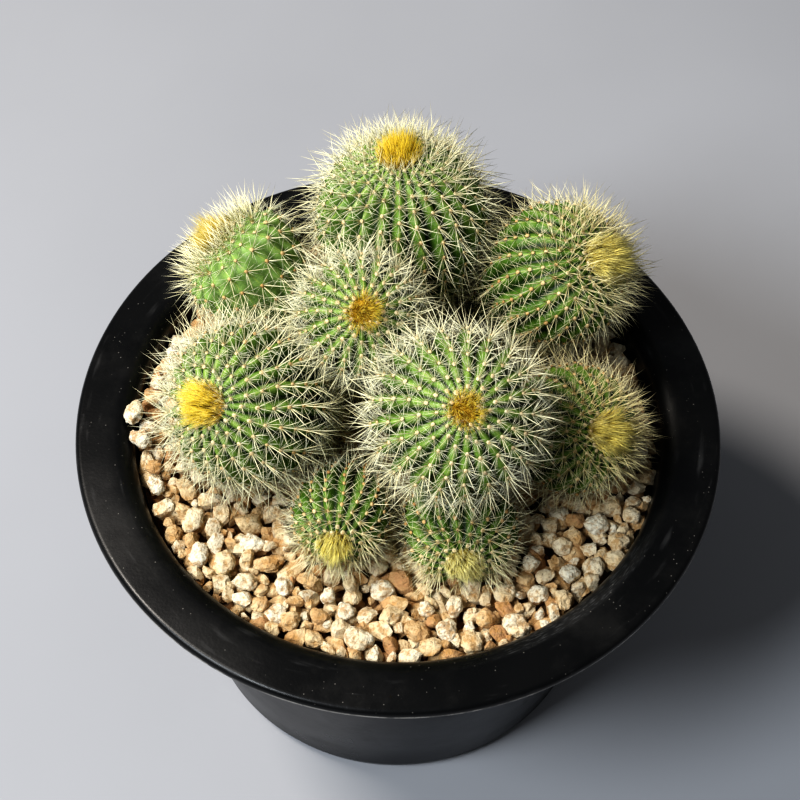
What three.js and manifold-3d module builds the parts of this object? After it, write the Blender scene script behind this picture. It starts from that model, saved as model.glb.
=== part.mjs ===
// A potted cactus: nine ribbed heads in a black broad-brimmed pot, top-dressed with loose gravel.
// Millimetres, +Z up. The origin is the centre of the pot's foot, on the surface that the pot stands on.
// The plant's front is towards -Y.

import * as THREE from 'three';
import { mergeVertices } from 'three/addons/utils/BufferGeometryUtils.js';
import Module from 'manifold-3d';

const wasm = await Module();
wasm.setup();

// Driving dimensions of the pot
const POT_HEIGHT = 92;
const RIM_RADIUS = 80;
const MOUTH_RADIUS = 65.4;
const BROW_RADIUS = 70.3;
const BROW_RISE = 0.7;
const BROW_DROP = 4;
const LIP_HEIGHT = 2.6;
const FLANGE_THICKNESS = 2.1;
const WALL_THICKNESS = 2.2;
const SHOULDER_RADIUS = 67.6;
const SHOULDER_HEIGHT = 88;
const WALL_FOOT_RADIUS = 52.3;
const FOOT_BAND_HEIGHT = 4.2;
const FOOT_RADIUS = 51;
const FOOT_RING_WIDTH = 4.5;
const FOOT_RECESS = 3;
const FLOOR_HEIGHT = 6.2;
const DRAIN_RADIUS = 2.4;
const DRAIN_CIRCLE = 27;

// Levels inside the pot
const FIT_GAP = 0.3;
const SOCKET_GAP = 0.45;
const POCKET_GAP_SHARE = 0.035;
const SOIL_TOP = 77;
const GRAVEL_TOP = 86;
const GRAVEL_FRONT_SLOPE = 1 / 60;
const GRAVEL_LEFT_SLOPE = 1 / 45;
const HEAP_CENTRE = [-64, 1];
const HEAP_RISE = 3.6;
const HEAP_SPREAD = [6, 12];
const HEAD_FOOT_HEIGHT = 73.6;

// Proportions that every head shares, as shares of its radius
const WAIST_DROP = 1.2;
const DOME_SHARE = 0.93;
const CROWN_DIP = 0.05;
const RIB_DEPTH = 0.1;

// Facets
const POT_SIDES = 48;
const POCKET_SIDES = 24;
const DRAIN_SIDES = 12;

// Each head: centre of its widest ring, radius there, waist near the foot as a share of that radius,
// lean of its crown from upright and the compass heading of that lean from +X, where its foot stands
// in the soil, and its number of ribs.
const HEADS = [
  {
    name: 'head_back', centre: [-0.3, 44.3, 117], radius: 21.6, waist: 0.7,
    lean: 11, heading: 107, foot: [0.5, 41], ribs: 24,
  },
  {
    name: 'head_back_left', centre: [-41.1, 33.1, 114], radius: 14.9, waist: 0.72,
    lean: 21, heading: -163, foot: [-33, 33], ribs: 20,
  },
  {
    name: 'head_middle', centre: [-10, 9.5, 123], radius: 14.5, waist: 0.64,
    lean: 32, heading: -81, foot: [-7, 15], ribs: 20,
  },
  {
    name: 'head_front', centre: [13.4, -18.3, 123], radius: 19.9, waist: 0.56,
    lean: 30, heading: -81, foot: [13, 4.5], ribs: 21,
  },
  {
    name: 'head_left', centre: [-36.7, -6, 107], radius: 19.6, waist: 0.64,
    lean: 43, heading: -130, foot: [-28, 4], ribs: 21,
  },
  {
    name: 'head_back_right', centre: [38.9, 32.1, 112], radius: 17.6, waist: 0.74,
    lean: 38, heading: -27, foot: [29, 34], ribs: 22,
  },
  {
    name: 'head_right', centre: [42.5, -6.4, 100], radius: 15.7, waist: 0.7,
    lean: 42, heading: -52, foot: [36, 2], ribs: 20,
  },
  {
    name: 'pup_front_left', centre: [-13.4, -29.7, 95], radius: 11.5, waist: 0.75,
    lean: 68, heading: -95, foot: [-9, -12], ribs: 17,
  },
  {
    name: 'pup_front_right', centre: [15.4, -29, 89.3], radius: 14.2, waist: 0.66,
    lean: 69, heading: -87, foot: [14, -18], ribs: 18,
  },
];

// The larger stones of the top dressing: place in plan, length, width, turn from +X in degrees, and how
// far a stone that lies on the brim's inner edge stands above the gravel.
const PEBBLES = [
  { tint: 'white', x: -63.2, y: -7, length: 6.6, width: 4.8, turn: -28, perch: 2.1 },
  { tint: 'cream', x: -65.4, y: -0.8, length: 7, width: 5, turn: 80, perch: 3.1 },
  { tint: 'white', x: -59, y: -18.5, length: 6, width: 4, turn: -65 },
  { tint: 'cream', x: -49.5, y: -27, length: 8.5, width: 5, turn: 65 },
  { tint: 'tan', x: -54, y: -31.5, length: 5.5, width: 4.5, turn: 90 },
  { tint: 'white', x: -47.5, y: -37.5, length: 7, width: 5, turn: 75 },
  { tint: 'pink', x: -41, y: -39, length: 8, width: 5, turn: 85 },
  { tint: 'white', x: -34.5, y: -33.5, length: 6.5, width: 5, turn: 5 },
  { tint: 'cream', x: -36, y: -44, length: 7.5, width: 4.5, turn: -25 },
  { tint: 'tan', x: -30.5, y: -39, length: 9.5, width: 4.5, turn: 20 },
  { tint: 'white', x: -26.5, y: -45, length: 6.5, width: 4, turn: -70 },
  { tint: 'tan', x: -21, y: -43, length: 6, width: 4, turn: -5 },
  { tint: 'cream', x: -16, y: -47, length: 5.5, width: 3.5, turn: 80 },
  { tint: 'cream', x: -3, y: -45.5, length: 7, width: 5.5, turn: -5 },
  { tint: 'pink', x: -0.5, y: -52, length: 6.5, width: 5, turn: 65 },
  { tint: 'white', x: -11.5, y: -51.5, length: 6, width: 4.5, turn: -40 },
  { tint: 'tan', x: -17.5, y: -53, length: 6, width: 4, turn: -50 },
  { tint: 'pink', x: -24.5, y: -54.5, length: 5.5, width: 5, turn: -35 },
  { tint: 'tan', x: -32, y: -50, length: 5.5, width: 4, turn: 55 },
  { tint: 'tan', x: -18.5, y: -59, length: 7, width: 4, turn: -40 },
  { tint: 'cream', x: -8, y: -58.5, length: 7.5, width: 7, turn: 0 },
  { tint: 'tan', x: 5.5, y: -56, length: 6.5, width: 6, turn: 0 },
  { tint: 'cream', x: 7.5, y: -50, length: 5, width: 4, turn: -10 },
  { tint: 'cream', x: 12.5, y: -55.5, length: 6, width: 5, turn: 70 },
  { tint: 'cream', x: 14.5, y: -48.5, length: 7, width: 4, turn: 80 },
  { tint: 'pink', x: 18.3, y: -58.2, length: 6.5, width: 5.5, turn: 65 },
  { tint: 'brown', x: 21.5, y: -52, length: 6, width: 5, turn: 65 },
  { tint: 'beige', x: 26, y: -45, length: 6.5, width: 5.5, turn: 20 },
  { tint: 'cream', x: 29, y: -53.5, length: 8, width: 6.5, turn: -15 },
  { tint: 'white', x: 34, y: -45, length: 5.5, width: 5, turn: 35 },
  { tint: 'tan', x: 40.2, y: -46.6, length: 6, width: 4.5, turn: 80 },
  { tint: 'beige', x: 40.5, y: -31, length: 5, width: 4.5, turn: 0 },
  { tint: 'white', x: 42, y: -39, length: 5.5, width: 5, turn: -20 },
  { tint: 'white', x: 49, y: -24.5, length: 6.5, width: 5.5, turn: 20 },
  { tint: 'beige', x: 54, y: -29.5, length: 5.5, width: 5.5, turn: 0 },
  { tint: 'cream', x: 48.5, y: -37, length: 6, width: 4.5, turn: 75 },
  { tint: 'beige', x: 57.5, y: -22, length: 5, width: 4.5, turn: 0 },
  { tint: 'white', x: 60.5, y: -3, length: 5.5, width: 4, turn: -65 },
  { tint: 'tan', x: 61.5, y: 6, length: 5, width: 4, turn: -65 },
  { tint: 'brown', x: 59, y: 18.5, length: 6.5, width: 4.5, turn: -70 },
  { tint: 'tan', x: -61.2, y: 6.2, length: 6, width: 4, turn: 25 },
  { tint: 'white', x: -60.8, y: 11.6, length: 5, width: 3.6, turn: 60 },
  { tint: 'cream', x: -58.6, y: 17.8, length: 5.5, width: 4.4, turn: 30 },
  { tint: 'brown', x: -60, y: -13.2, length: 4.6, width: 3.4, turn: 10 },
];
const PEBBLE_HEIGHT_SHARE = 0.82;
const PEBBLE_FULLNESS = 1.12;
const PEBBLE_LIFT = 0.4;
const PEBBLE_ROUGHNESS = 0.13;

const MATERIALS = {
  pot: new THREE.MeshStandardMaterial({ color: 0x17191b, roughness: 0.42, metalness: 0 }),
  soil: new THREE.MeshStandardMaterial({ color: 0x3a2c20, roughness: 1, metalness: 0 }),
  gravel: new THREE.MeshStandardMaterial({ color: 0xb98f63, roughness: 0.95, metalness: 0 }),
  head: new THREE.MeshStandardMaterial({ color: 0x4f8a34, roughness: 0.6, metalness: 0 }),
  white: new THREE.MeshStandardMaterial({ color: 0xf0e8d4, roughness: 0.85, metalness: 0 }),
  cream: new THREE.MeshStandardMaterial({ color: 0xe6cfa4, roughness: 0.85, metalness: 0 }),
  beige: new THREE.MeshStandardMaterial({ color: 0xcdb693, roughness: 0.85, metalness: 0 }),
  tan: new THREE.MeshStandardMaterial({ color: 0xd0a26a, roughness: 0.85, metalness: 0 }),
  pink: new THREE.MeshStandardMaterial({ color: 0xe0bd9e, roughness: 0.85, metalness: 0 }),
  brown: new THREE.MeshStandardMaterial({ color: 0x9a6a42, roughness: 0.85, metalness: 0 }),
};

function seededRandom(seed) {
  let state = seed * 7919 + 17;
  return () => {
    state = (state * 16807) % 2147483647;
    return state / 2147483647;
  };
}

function smoothStep(x) {
  const t = Math.min(Math.max(x, 0), 1);
  return t * t * (3 - 2 * t);
}

// Closed meshes to solids and back, for the cuts

function solidOf(geometry) {
  const bare = geometry.clone();
  bare.deleteAttribute('normal');
  bare.deleteAttribute('uv');
  const merged = mergeVertices(bare, 1e-4);
  const mesh = new wasm.Mesh({
    numProp: 3,
    vertProperties: new Float32Array(merged.attributes.position.array),
    triVerts: new Uint32Array(merged.index.array),
  });
  return new wasm.Manifold(mesh);
}

function geometryOf(solid) {
  const mesh = solid.getMesh();
  const geometry = new THREE.BufferGeometry();
  geometry.setAttribute('position', new THREE.BufferAttribute(new Float32Array(mesh.vertProperties), 3));
  geometry.setIndex(new THREE.BufferAttribute(new Uint32Array(mesh.triVerts), 1));
  geometry.computeVertexNormals();
  return geometry;
}

function cut(geometry, cutters) {
  return geometryOf(cutters.reduce((solid, cutter) => solid.subtract(solidOf(cutter)), solidOf(geometry)));
}

// A turned shape about Z from its profile of [radius, height] points
function turned(profile, sides) {
  const points = profile.map(([radius, height]) => new THREE.Vector2(radius, height));
  return new THREE.LatheGeometry(points, sides).rotateX(Math.PI / 2);
}

// Pot

function wallRadius(height) {
  const rise = (height - FOOT_BAND_HEIGHT) / (SHOULDER_HEIGHT - FOOT_BAND_HEIGHT);
  return WALL_FOOT_RADIUS + rise * (SHOULDER_RADIUS - WALL_FOOT_RADIUS);
}

function insideRadius(height) {
  return wallRadius(height) - WALL_THICKNESS;
}

function potProfile() {
  const round = 2;
  const lipRound = 1.5;
  const footChamfer = 0.8;
  const underFlange = POT_HEIGHT - FLANGE_THICKNESS;
  const lipBottom = POT_HEIGHT - LIP_HEIGHT;
  const path = new THREE.Path();
  path.moveTo(0, FOOT_RECESS);
  path.lineTo(FOOT_RADIUS - FOOT_RING_WIDTH, FOOT_RECESS);
  path.lineTo(FOOT_RADIUS - FOOT_RING_WIDTH, 0);
  path.lineTo(FOOT_RADIUS - footChamfer, 0);
  path.lineTo(FOOT_RADIUS, footChamfer);
  path.lineTo(WALL_FOOT_RADIUS, FOOT_BAND_HEIGHT);
  path.lineTo(SHOULDER_RADIUS, SHOULDER_HEIGHT);
  path.lineTo(SHOULDER_RADIUS + round, underFlange);
  path.lineTo(RIM_RADIUS - round, underFlange);
  path.lineTo(RIM_RADIUS - round / 2, lipBottom);
  path.lineTo(RIM_RADIUS, lipBottom);
  path.lineTo(RIM_RADIUS, POT_HEIGHT - lipRound);
  path.absarc(RIM_RADIUS - lipRound, POT_HEIGHT - lipRound, lipRound, 0, Math.PI / 2);
  path.lineTo(BROW_RADIUS, POT_HEIGHT + BROW_RISE);
  path.absellipse(
    BROW_RADIUS,
    POT_HEIGHT + BROW_RISE - BROW_DROP,
    BROW_RADIUS - MOUTH_RADIUS,
    BROW_DROP,
    Math.PI / 2,
    Math.PI,
  );
  path.lineTo(insideRadius(SHOULDER_HEIGHT), SHOULDER_HEIGHT);
  path.lineTo(insideRadius(FLOOR_HEIGHT), FLOOR_HEIGHT);
  path.lineTo(0, FLOOR_HEIGHT);
  const arcSteps = 2;
  return path.getPoints(arcSteps).map((point) => [point.x, point.y]);
}

function drainHole(x, y) {
  const length = FLOOR_HEIGHT * 2;
  return new THREE.CylinderGeometry(DRAIN_RADIUS, DRAIN_RADIUS, length, DRAIN_SIDES)
    .rotateX(Math.PI / 2)
    .translate(x, y, FLOOR_HEIGHT / 2);
}

function potGeometry() {
  const holes = [drainHole(0, 0)];
  const around = 4;
  for (let i = 0; i < around; i += 1) {
    const angle = ((i + 0.5) / around) * Math.PI * 2;
    holes.push(drainHole(DRAIN_CIRCLE * Math.cos(angle), DRAIN_CIRCLE * Math.sin(angle)));
  }
  return cut(turned(potProfile(), POT_SIDES), holes);
}

// Heads

function crownAxis(head) {
  const lean = THREE.MathUtils.degToRad(head.lean);
  const heading = THREE.MathUtils.degToRad(head.heading);
  const out = Math.sin(lean);
  return new THREE.Vector3(out * Math.cos(heading), out * Math.sin(heading), Math.cos(lean));
}

// The stem's middle line: upright out of the soil, then bending into the crown's own axis
function stemLine(head, footHeight) {
  const foot = new THREE.Vector3(head.foot[0], head.foot[1], footHeight);
  const centre = new THREE.Vector3(...head.centre);
  const handle = foot.distanceTo(centre) * 0.38;
  return new THREE.CubicBezierCurve3(
    foot,
    foot.clone().add(new THREE.Vector3(0, 0, handle)),
    centre.clone().addScaledVector(crownAxis(head), -handle),
    centre,
  );
}

function stemRadius(head, drop) {
  const waist = head.radius * head.waist;
  return waist + (head.radius - waist) * (1 - smoothStep(drop / (WAIST_DROP * head.radius)));
}

// Rings from the foot to the crown: where each lies, which way it faces, its radius and its rib depth
function headRings(head, footHeight) {
  const line = stemLine(head, footHeight);
  const length = line.getLength();
  const axis = crownAxis(head);
  const centre = new THREE.Vector3(...head.centre);
  const depth = head.radius * RIB_DEPTH;
  const dropShares = [1.2, 0.8, 0.45, 0.15];
  const drops = dropShares.map((share) => share * head.radius).filter((drop) => drop < length - 2);
  const below = [length, ...drops].map((drop) => ({
    point: line.getPointAt(1 - drop / length),
    facing: line.getTangentAt(1 - drop / length),
    radius: stemRadius(head, drop),
    depth: depth * Math.min(1, 0.35 + (length - drop) / length),
  }));
  const above = [12, 32, 52, 72].map((degrees) => {
    const rise = THREE.MathUtils.degToRad(degrees);
    return {
      point: centre.clone().addScaledVector(axis, head.radius * DOME_SHARE * Math.sin(rise)),
      facing: axis,
      radius: head.radius * Math.cos(rise),
      depth: depth * Math.cos(rise),
    };
  });
  return [...below, ...above];
}

// The side directions of every ring, carried down from the crown without twist
function ringSides(rings) {
  const sides = [];
  let side = new THREE.Vector3(1, 0, 0);
  for (let i = rings.length - 1; i >= 0; i -= 1) {
    side = side.clone().addScaledVector(rings[i].facing, -side.dot(rings[i].facing)).normalize();
    sides[i] = side;
  }
  return sides;
}

// A closed skin over the rings. Every second corner is a crest and the ones between are furrows.
function skinOver(rings, corners, footPoint, crownPoint) {
  const sides = ringSides(rings);
  const positions = [...footPoint.toArray()];
  rings.forEach((ring, i) => {
    const across = ring.facing.clone().cross(sides[i]);
    for (let k = 0; k < corners; k += 1) {
      const angle = (k / corners) * Math.PI * 2;
      const radius = ring.radius - (k % 2) * ring.depth;
      const corner = ring.point.clone()
        .addScaledVector(sides[i], radius * Math.cos(angle))
        .addScaledVector(across, radius * Math.sin(angle));
      positions.push(...corner.toArray());
    }
  });
  positions.push(...crownPoint.toArray());
  const index = [];
  const last = rings.length - 1;
  const crown = 1 + rings.length * corners;
  for (let k = 0; k < corners; k += 1) {
    const next = (k + 1) % corners;
    index.push(0, 1 + next, 1 + k);
    for (let i = 0; i < last; i += 1) {
      const low = 1 + i * corners;
      const high = low + corners;
      index.push(low + k, low + next, high + next, low + k, high + next, high + k);
    }
    index.push(1 + last * corners + k, 1 + last * corners + next, crown);
  }
  const geometry = new THREE.BufferGeometry();
  geometry.setAttribute('position', new THREE.Float32BufferAttribute(positions, 3));
  geometry.setIndex(index);
  geometry.computeVertexNormals();
  return geometry;
}

function headGeometry(head) {
  const rings = headRings(head, HEAD_FOOT_HEIGHT);
  const crown = new THREE.Vector3(...head.centre)
    .addScaledVector(crownAxis(head), head.radius * (DOME_SHARE - CROWN_DIP));
  return skinOver(rings, head.ribs * 2, rings[0].point.clone(), crown);
}

// The smooth hollow that a head stands in
function pocketGeometry(head) {
  const gap = FIT_GAP + head.radius * POCKET_GAP_SHARE;
  const rings = headRings(head, HEAD_FOOT_HEIGHT - FIT_GAP)
    .map((ring) => ({ ...ring, radius: ring.radius + gap, depth: 0 }));
  const crown = new THREE.Vector3(...head.centre).addScaledVector(crownAxis(head), head.radius + gap);
  return skinOver(rings, POCKET_SIDES, rings[0].point.clone(), crown);
}

// Gravel and soil

function gravelHeight(x, y) {
  const ripple = 0.35 * Math.sin(x * 0.31 + 1.3) * Math.cos(y * 0.27) + 0.2 * Math.sin(x * 0.13 - y * 0.19);
  const across = (x - HEAP_CENTRE[0]) / HEAP_SPREAD[0];
  const along = (y - HEAP_CENTRE[1]) / HEAP_SPREAD[1];
  const heap = HEAP_RISE * Math.exp(-(across ** 2 + along ** 2) / 2);
  return GRAVEL_TOP - y * GRAVEL_FRONT_SLOPE - x * GRAVEL_LEFT_SLOPE + ripple + heap;
}

function pebbleGeometry(pebble, number, gap) {
  const random = seededRandom(number + 3);
  const stone = mergeVertices(withoutNormals(new THREE.IcosahedronGeometry(1, 0)), 1e-4);
  const corners = stone.attributes.position;
  const half = [
    (pebble.length * PEBBLE_FULLNESS) / 2 + gap,
    (pebble.width * PEBBLE_FULLNESS) / 2 + gap,
    (pebble.width * PEBBLE_FULLNESS * PEBBLE_HEIGHT_SHARE) / 2 + gap,
  ];
  for (let i = 0; i < corners.count; i += 1) {
    const bulge = 1 - PEBBLE_ROUGHNESS * random();
    corners.setXYZ(
      i,
      corners.getX(i) * half[0] * bulge,
      corners.getY(i) * half[1] * bulge,
      corners.getZ(i) * half[2] * bulge,
    );
  }
  stone.computeVertexNormals();
  const height = gravelHeight(pebble.x, pebble.y) + (pebble.perch ?? PEBBLE_LIFT);
  return stone.rotateZ(THREE.MathUtils.degToRad(pebble.turn)).translate(pebble.x, pebble.y, height);
}

function withoutNormals(geometry) {
  geometry.deleteAttribute('normal');
  geometry.deleteAttribute('uv');
  return geometry;
}

function gravelGeometry() {
  const bottom = SOIL_TOP + FIT_GAP;
  const edge = insideRadius(GRAVEL_TOP - 2) - FIT_GAP;
  const rings = 4;
  const profile = [[0, bottom], [insideRadius(bottom) - FIT_GAP, bottom]];
  for (let i = 0; i <= rings; i += 1) {
    profile.push([edge * (1 - i / rings), GRAVEL_TOP]);
  }
  const bed = turned(profile, POT_SIDES);
  const corners = bed.attributes.position;
  for (let i = 0; i < corners.count; i += 1) {
    if (corners.getZ(i) > bottom + 1) {
      corners.setZ(i, gravelHeight(corners.getX(i), corners.getY(i)));
    }
  }
  const sockets = PEBBLES.map((pebble, number) => pebbleGeometry(pebble, number, SOCKET_GAP));
  return cut(bed, [...HEADS.map(pocketGeometry), ...sockets]);
}

function soilGeometry() {
  const bottom = FLOOR_HEIGHT + FIT_GAP;
  const profile = [
    [0, bottom],
    [insideRadius(bottom) - FIT_GAP, bottom],
    [insideRadius(SOIL_TOP) - FIT_GAP, SOIL_TOP],
    [0, SOIL_TOP],
  ];
  return cut(turned(profile, POT_SIDES), HEADS.map(pocketGeometry));
}

// Assembly

function piece(name, geometry, material) {
  const mesh = new THREE.Mesh(geometry, material);
  mesh.name = name;
  return mesh;
}

const planter = new THREE.Group();
planter.add(
  piece('pot', potGeometry(), MATERIALS.pot),
  piece('potting_soil', soilGeometry(), MATERIALS.soil),
  piece('gravel_bed', gravelGeometry(), MATERIALS.gravel),
);

const plant = new THREE.Group();
HEADS.forEach((head) => plant.add(piece(head.name, headGeometry(head), MATERIALS.head)));

const dressing = new THREE.Group();
PEBBLES.forEach((pebble, number) => {
  const name = `pebble_${pebble.tint}_${String(number + 1).padStart(2, '0')}`;
  dressing.add(piece(name, pebbleGeometry(pebble, number, 0), MATERIALS[pebble.tint]));
});

const pottedCactus = new THREE.Group();
pottedCactus.add(planter, plant, dressing);

export default pottedCactus;
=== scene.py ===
"""A potted cactus clump around its fixed frame: ribbed heads, spines, pot, gravel and a plain stage."""

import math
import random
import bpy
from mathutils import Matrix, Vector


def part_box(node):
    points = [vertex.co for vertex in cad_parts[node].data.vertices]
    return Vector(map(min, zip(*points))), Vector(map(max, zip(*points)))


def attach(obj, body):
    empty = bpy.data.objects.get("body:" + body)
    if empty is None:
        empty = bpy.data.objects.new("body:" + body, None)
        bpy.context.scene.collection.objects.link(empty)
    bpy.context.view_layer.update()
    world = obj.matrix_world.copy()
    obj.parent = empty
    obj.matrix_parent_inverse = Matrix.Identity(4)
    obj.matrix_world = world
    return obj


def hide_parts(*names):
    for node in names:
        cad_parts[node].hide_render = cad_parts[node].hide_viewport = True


bl_info = {
    "name": "Potted Cactus Clump",
    "version": (1, 0, 0),
    "blender": (4, 5, 0),
    "location": "View3D > Sidebar > Cactus",
    "description": "Ribbed cactus heads with spines and felt, in a broad-brimmed pot dressed with gravel",
    "category": "Add Mesh",
}

import bpy
import numpy as np
from bpy.props import FloatProperty, FloatVectorProperty, IntProperty
from mathutils import Matrix, Vector

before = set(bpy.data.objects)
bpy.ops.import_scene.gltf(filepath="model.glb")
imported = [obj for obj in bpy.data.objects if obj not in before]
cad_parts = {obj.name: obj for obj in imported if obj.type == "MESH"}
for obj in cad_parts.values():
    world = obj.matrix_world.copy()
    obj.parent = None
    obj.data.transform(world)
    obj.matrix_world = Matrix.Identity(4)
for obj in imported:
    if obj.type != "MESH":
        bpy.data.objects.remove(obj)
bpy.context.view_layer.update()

MM = 0.001
BODY = "root"
FULL_TURN = 2 * math.pi
QUARTER_TURN = math.pi / 2

# The pot, in millimetres, as its frame has it
POT_HEIGHT = 92.0
RIM_RADIUS = 80.0
MOUTH_RADIUS = 65.4
BROW_RADIUS = 70.3
BROW_RISE = 0.7
BROW_DROP = 4.0
LIP_HEIGHT = 2.6
FLANGE_THICKNESS = 2.1
WALL_THICKNESS = 2.2
SHOULDER_RADIUS = 67.6
SHOULDER_HEIGHT = 88.0
WALL_FOOT_RADIUS = 52.3
FOOT_BAND_HEIGHT = 4.2
FOOT_RADIUS = 51.0
FOOT_RING_WIDTH = 4.5
FOOT_RECESS = 3.0
FLOOR_HEIGHT = 6.2
DRAIN_RADIUS = 2.4
DRAIN_CIRCLE = 27.0

# Levels inside the pot, in millimetres
GRAVEL_TOP = 86.0
GRAVEL_FRONT_SLOPE = 1 / 60
GRAVEL_LEFT_SLOPE = 1 / 45
HEAP_CENTRE = (-64, 1)
HEAP_RISE = 3.6
HEAP_SPREAD = (6, 12)
HEAD_FOOT_HEIGHT = 73.6

# What every head shares: how far its waist lies below its widest ring and how deep its crown dips, as
# shares of its radius, how rounded its keels are, and how its areoles crowd towards the crown
WAIST_DROP = 1.2
CROWN_DIP = 0.05
KEEL_ROUNDNESS = 0.24
AREOLE_CROWDING = 1.3

# The shape of each head, in millimetres and degrees: centre of its widest ring, radius there, waist as a
# share of that radius, lean of its crown and heading of that lean, where its foot stands, number of ribs,
# rise of its dome as a share of its radius, and depth of its furrows as a share of the usual depth
SHAPE_FIELDS = ("centre", "radius", "waist", "lean", "heading", "foot", "ribs", "dome", "relief")
SHAPES = {
    "head_back": ((-0.3, 44.3, 117), 21.6, 0.7, 11, 107, (0.5, 41), 24, 0.93, 1),
    "head_back_left": ((-41.1, 33.1, 114), 14.9, 0.8, 52, 155, (-33, 33), 20, 0.42, 0.36),
    "head_middle": ((-10, 9.5, 123), 14.5, 0.64, 32, -81, (-7, 15), 20, 0.93, 1),
    "head_front": ((13.4, -18.3, 123), 19.9, 0.56, 30, -81, (13, 4.5), 21, 0.93, 1),
    "head_left": ((-36.7, -6, 107), 19.6, 0.64, 43, -130, (-28, 4), 21, 0.93, 1),
    "head_back_right": ((38.9, 32.1, 112), 17.6, 0.74, 38, -27, (29, 34), 22, 0.93, 0.5),
    "head_right": ((42.5, -6.4, 100), 15.7, 0.7, 42, -52, (36, 2), 20, 0.93, 0.65),
    "pup_front_left": ((-13.4, -29.7, 95), 11.5, 0.75, 68, -95, (-9, -12), 17, 0.93, 1),
    "pup_front_right": ((15.4, -29, 89.3), 14.2, 0.66, 69, -87, (14, -18), 18, 0.93, 1),
}

# The tuft on each crown: its radius and length, lean, heading and spread of its bristles, how much painted
# shade deepens their colour (below 0: how much painted light pales it), how gold and not lemon it is, and
# how rusty its edge
TUFT_FIELDS = ("tuft", "tuft_length", "comb", "shade", "gold", "rust")
TUFTS = {
    "head_back": (5.0, 10.5, (14, 107, 0.3), 0.3, 1.0, 0),
    "head_back_left": (4.2, 12.5, (50, 160, 0.3), 0.75, 0.2, 0),
    "head_middle": (3.6, 6.0, (34, -75, 0.7), 0.0, 0.7, 0.55),
    "head_front": (3.6, 6.0, (32, -75, 0.7), 0.0, 0.7, 0.4),
    "head_left": (4.6, 9.5, (56, -165, 0.5), 0.3, 0.85, 0),
    "head_back_right": (4.6, 12.0, (66, -16, 0.5), -0.2, 0.45, 0),
    "head_right": (4.0, 10.5, (72, -20, 0.5), -0.15, 0.5, 0.15),
    "pup_front_left": (3.8, 8.5, (72, -97, 0.4), -0.1, 0.3, 0),
    "pup_front_right": (4.5, 7.5, (66, -78, 0.4), -0.4, 0.2, 0),
}

# What grows on each head's ribs: distance between areoles, radial and central spines of an areole, length
# of its spines and of the collar round the crown as shares, how straw-coloured they are, how far down from
# the crown its felt stays cream, and how pale its skin is (below 0: how deep a green it is painted, as
# shade on the heads that stand in the others' shadow)
GROWTH_FIELDS = ("pitch", "radials", "centrals", "spines", "collar", "straw", "felt", "pale")
GROWTHS = {
    "head_back": (3.9, 9, 3, 1.05, 0.8, 0.08, 26, 0.1),
    "head_back_left": (3.5, 8, 3, 0.85, 1.0, 0.1, 12, 0.8),
    "head_middle": (3.9, 11, 4, 0.95, 0.42, 0.05, 16, 0.1),
    "head_front": (4.6, 12, 4, 1.0, 0.38, 0.0, 24, 0.0),
    "head_left": (4.0, 11, 4, 1.0, 0.45, 0.06, 16, 0.0),
    "head_back_right": (3.3, 7, 3, 0.8, 1.0, 0.3, 14, -0.7),
    "head_right": (3.1, 7, 3, 0.8, 0.95, 0.4, 11, -0.5),
    "pup_front_left": (2.8, 7, 2, 0.7, 0.9, 0.2, 9, -0.85),
    "pup_front_right": (3.0, 7, 3, 0.75, 0.95, 0.2, 9, -0.85),
}
HEADS = {
    name: dict(zip(SHAPE_FIELDS + TUFT_FIELDS + GROWTH_FIELDS, shape + TUFTS[name] + GROWTHS[name]))
    for name, shape in SHAPES.items()
}

# Each kind of spine: share of a full turn that its fan spans, least and greatest lift off the skin in
# radians, shortest spine as a share of the longest, slenderness, segments, bend and unevenness of spacing
FAN_FIELDS = (
    "Arc", "Lowest lift", "Highest lift", "Shortest", "Slenderness", "Segments", "Bend", "Unevenness",
)
FANS = {
    "radial": (0.78, 0.2, 0.75, 0.62, 0.0145, 1, 0.0, 0.7),
    "central": (0.5, 0.6, 1.15, 0.62, 0.0135, 2, 0.07, 1.0),
    "young": (1.0, 0.9, 1.45, 0.62, 0.0155, 2, 0.05, 1.0),
    "tuft": (1.0, 1.35, 1.55, 0.6, 0.0145, 2, 0.08, 1.0),
}

# The colours of each kind of spine: at its root, along it, at its tip, and where it is old
SPINE_COLOURS = {
    "radial": ((0.7, 0.65, 0.34), (0.89, 0.89, 0.69), (0.93, 0.93, 0.8), (0.74, 0.62, 0.32)),
    "central": ((0.66, 0.54, 0.24), (0.91, 0.88, 0.62), (0.88, 0.82, 0.52), (0.66, 0.54, 0.22)),
    "young": ((0.74, 0.62, 0.2), (0.9, 0.87, 0.62), (0.93, 0.92, 0.78), (0.74, 0.6, 0.2)),
}

BRISTLES_PER_MM2 = 18
POINTS_PER_WISP = 16

# Each layer of loose grains, in millimetres: how deep it is sunk, how many places are tried, how close
# grains may lie as a share of their reach, how fine they are, and how much painted light their tone keeps:
# lower layers are painted duller and browner, as shade
GRAIN_LAYERS = ((0.1, 6400, 0.76, 2, 0.9), (1.8, 4200, 0.78, 2, 0.55), (3.3, 2200, 0.8, 1, 0.28))
STONE_BREAKS = 8
CRUMBS_DEPTH = 4.6

# How bright each stone tint is, and where it lies on the gravel's run of colours from brown to white
STONE_TONES = {"brown": 0.2, "tan": 0.36, "pink": 0.45, "beige": 0.58, "cream": 0.74, "white": 0.95}
PEBBLE_NODES = sorted(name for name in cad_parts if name.startswith("pebble_"))


def number_setting(name, description, default, low, high, **kind):
    return FloatProperty(name=name, description=description, default=default, min=low, max=high, **kind)


def colour_setting(name, description, default):
    return FloatVectorProperty(
        name=name, description=description, subtype="COLOR", default=default, min=0, max=1,
    )


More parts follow.
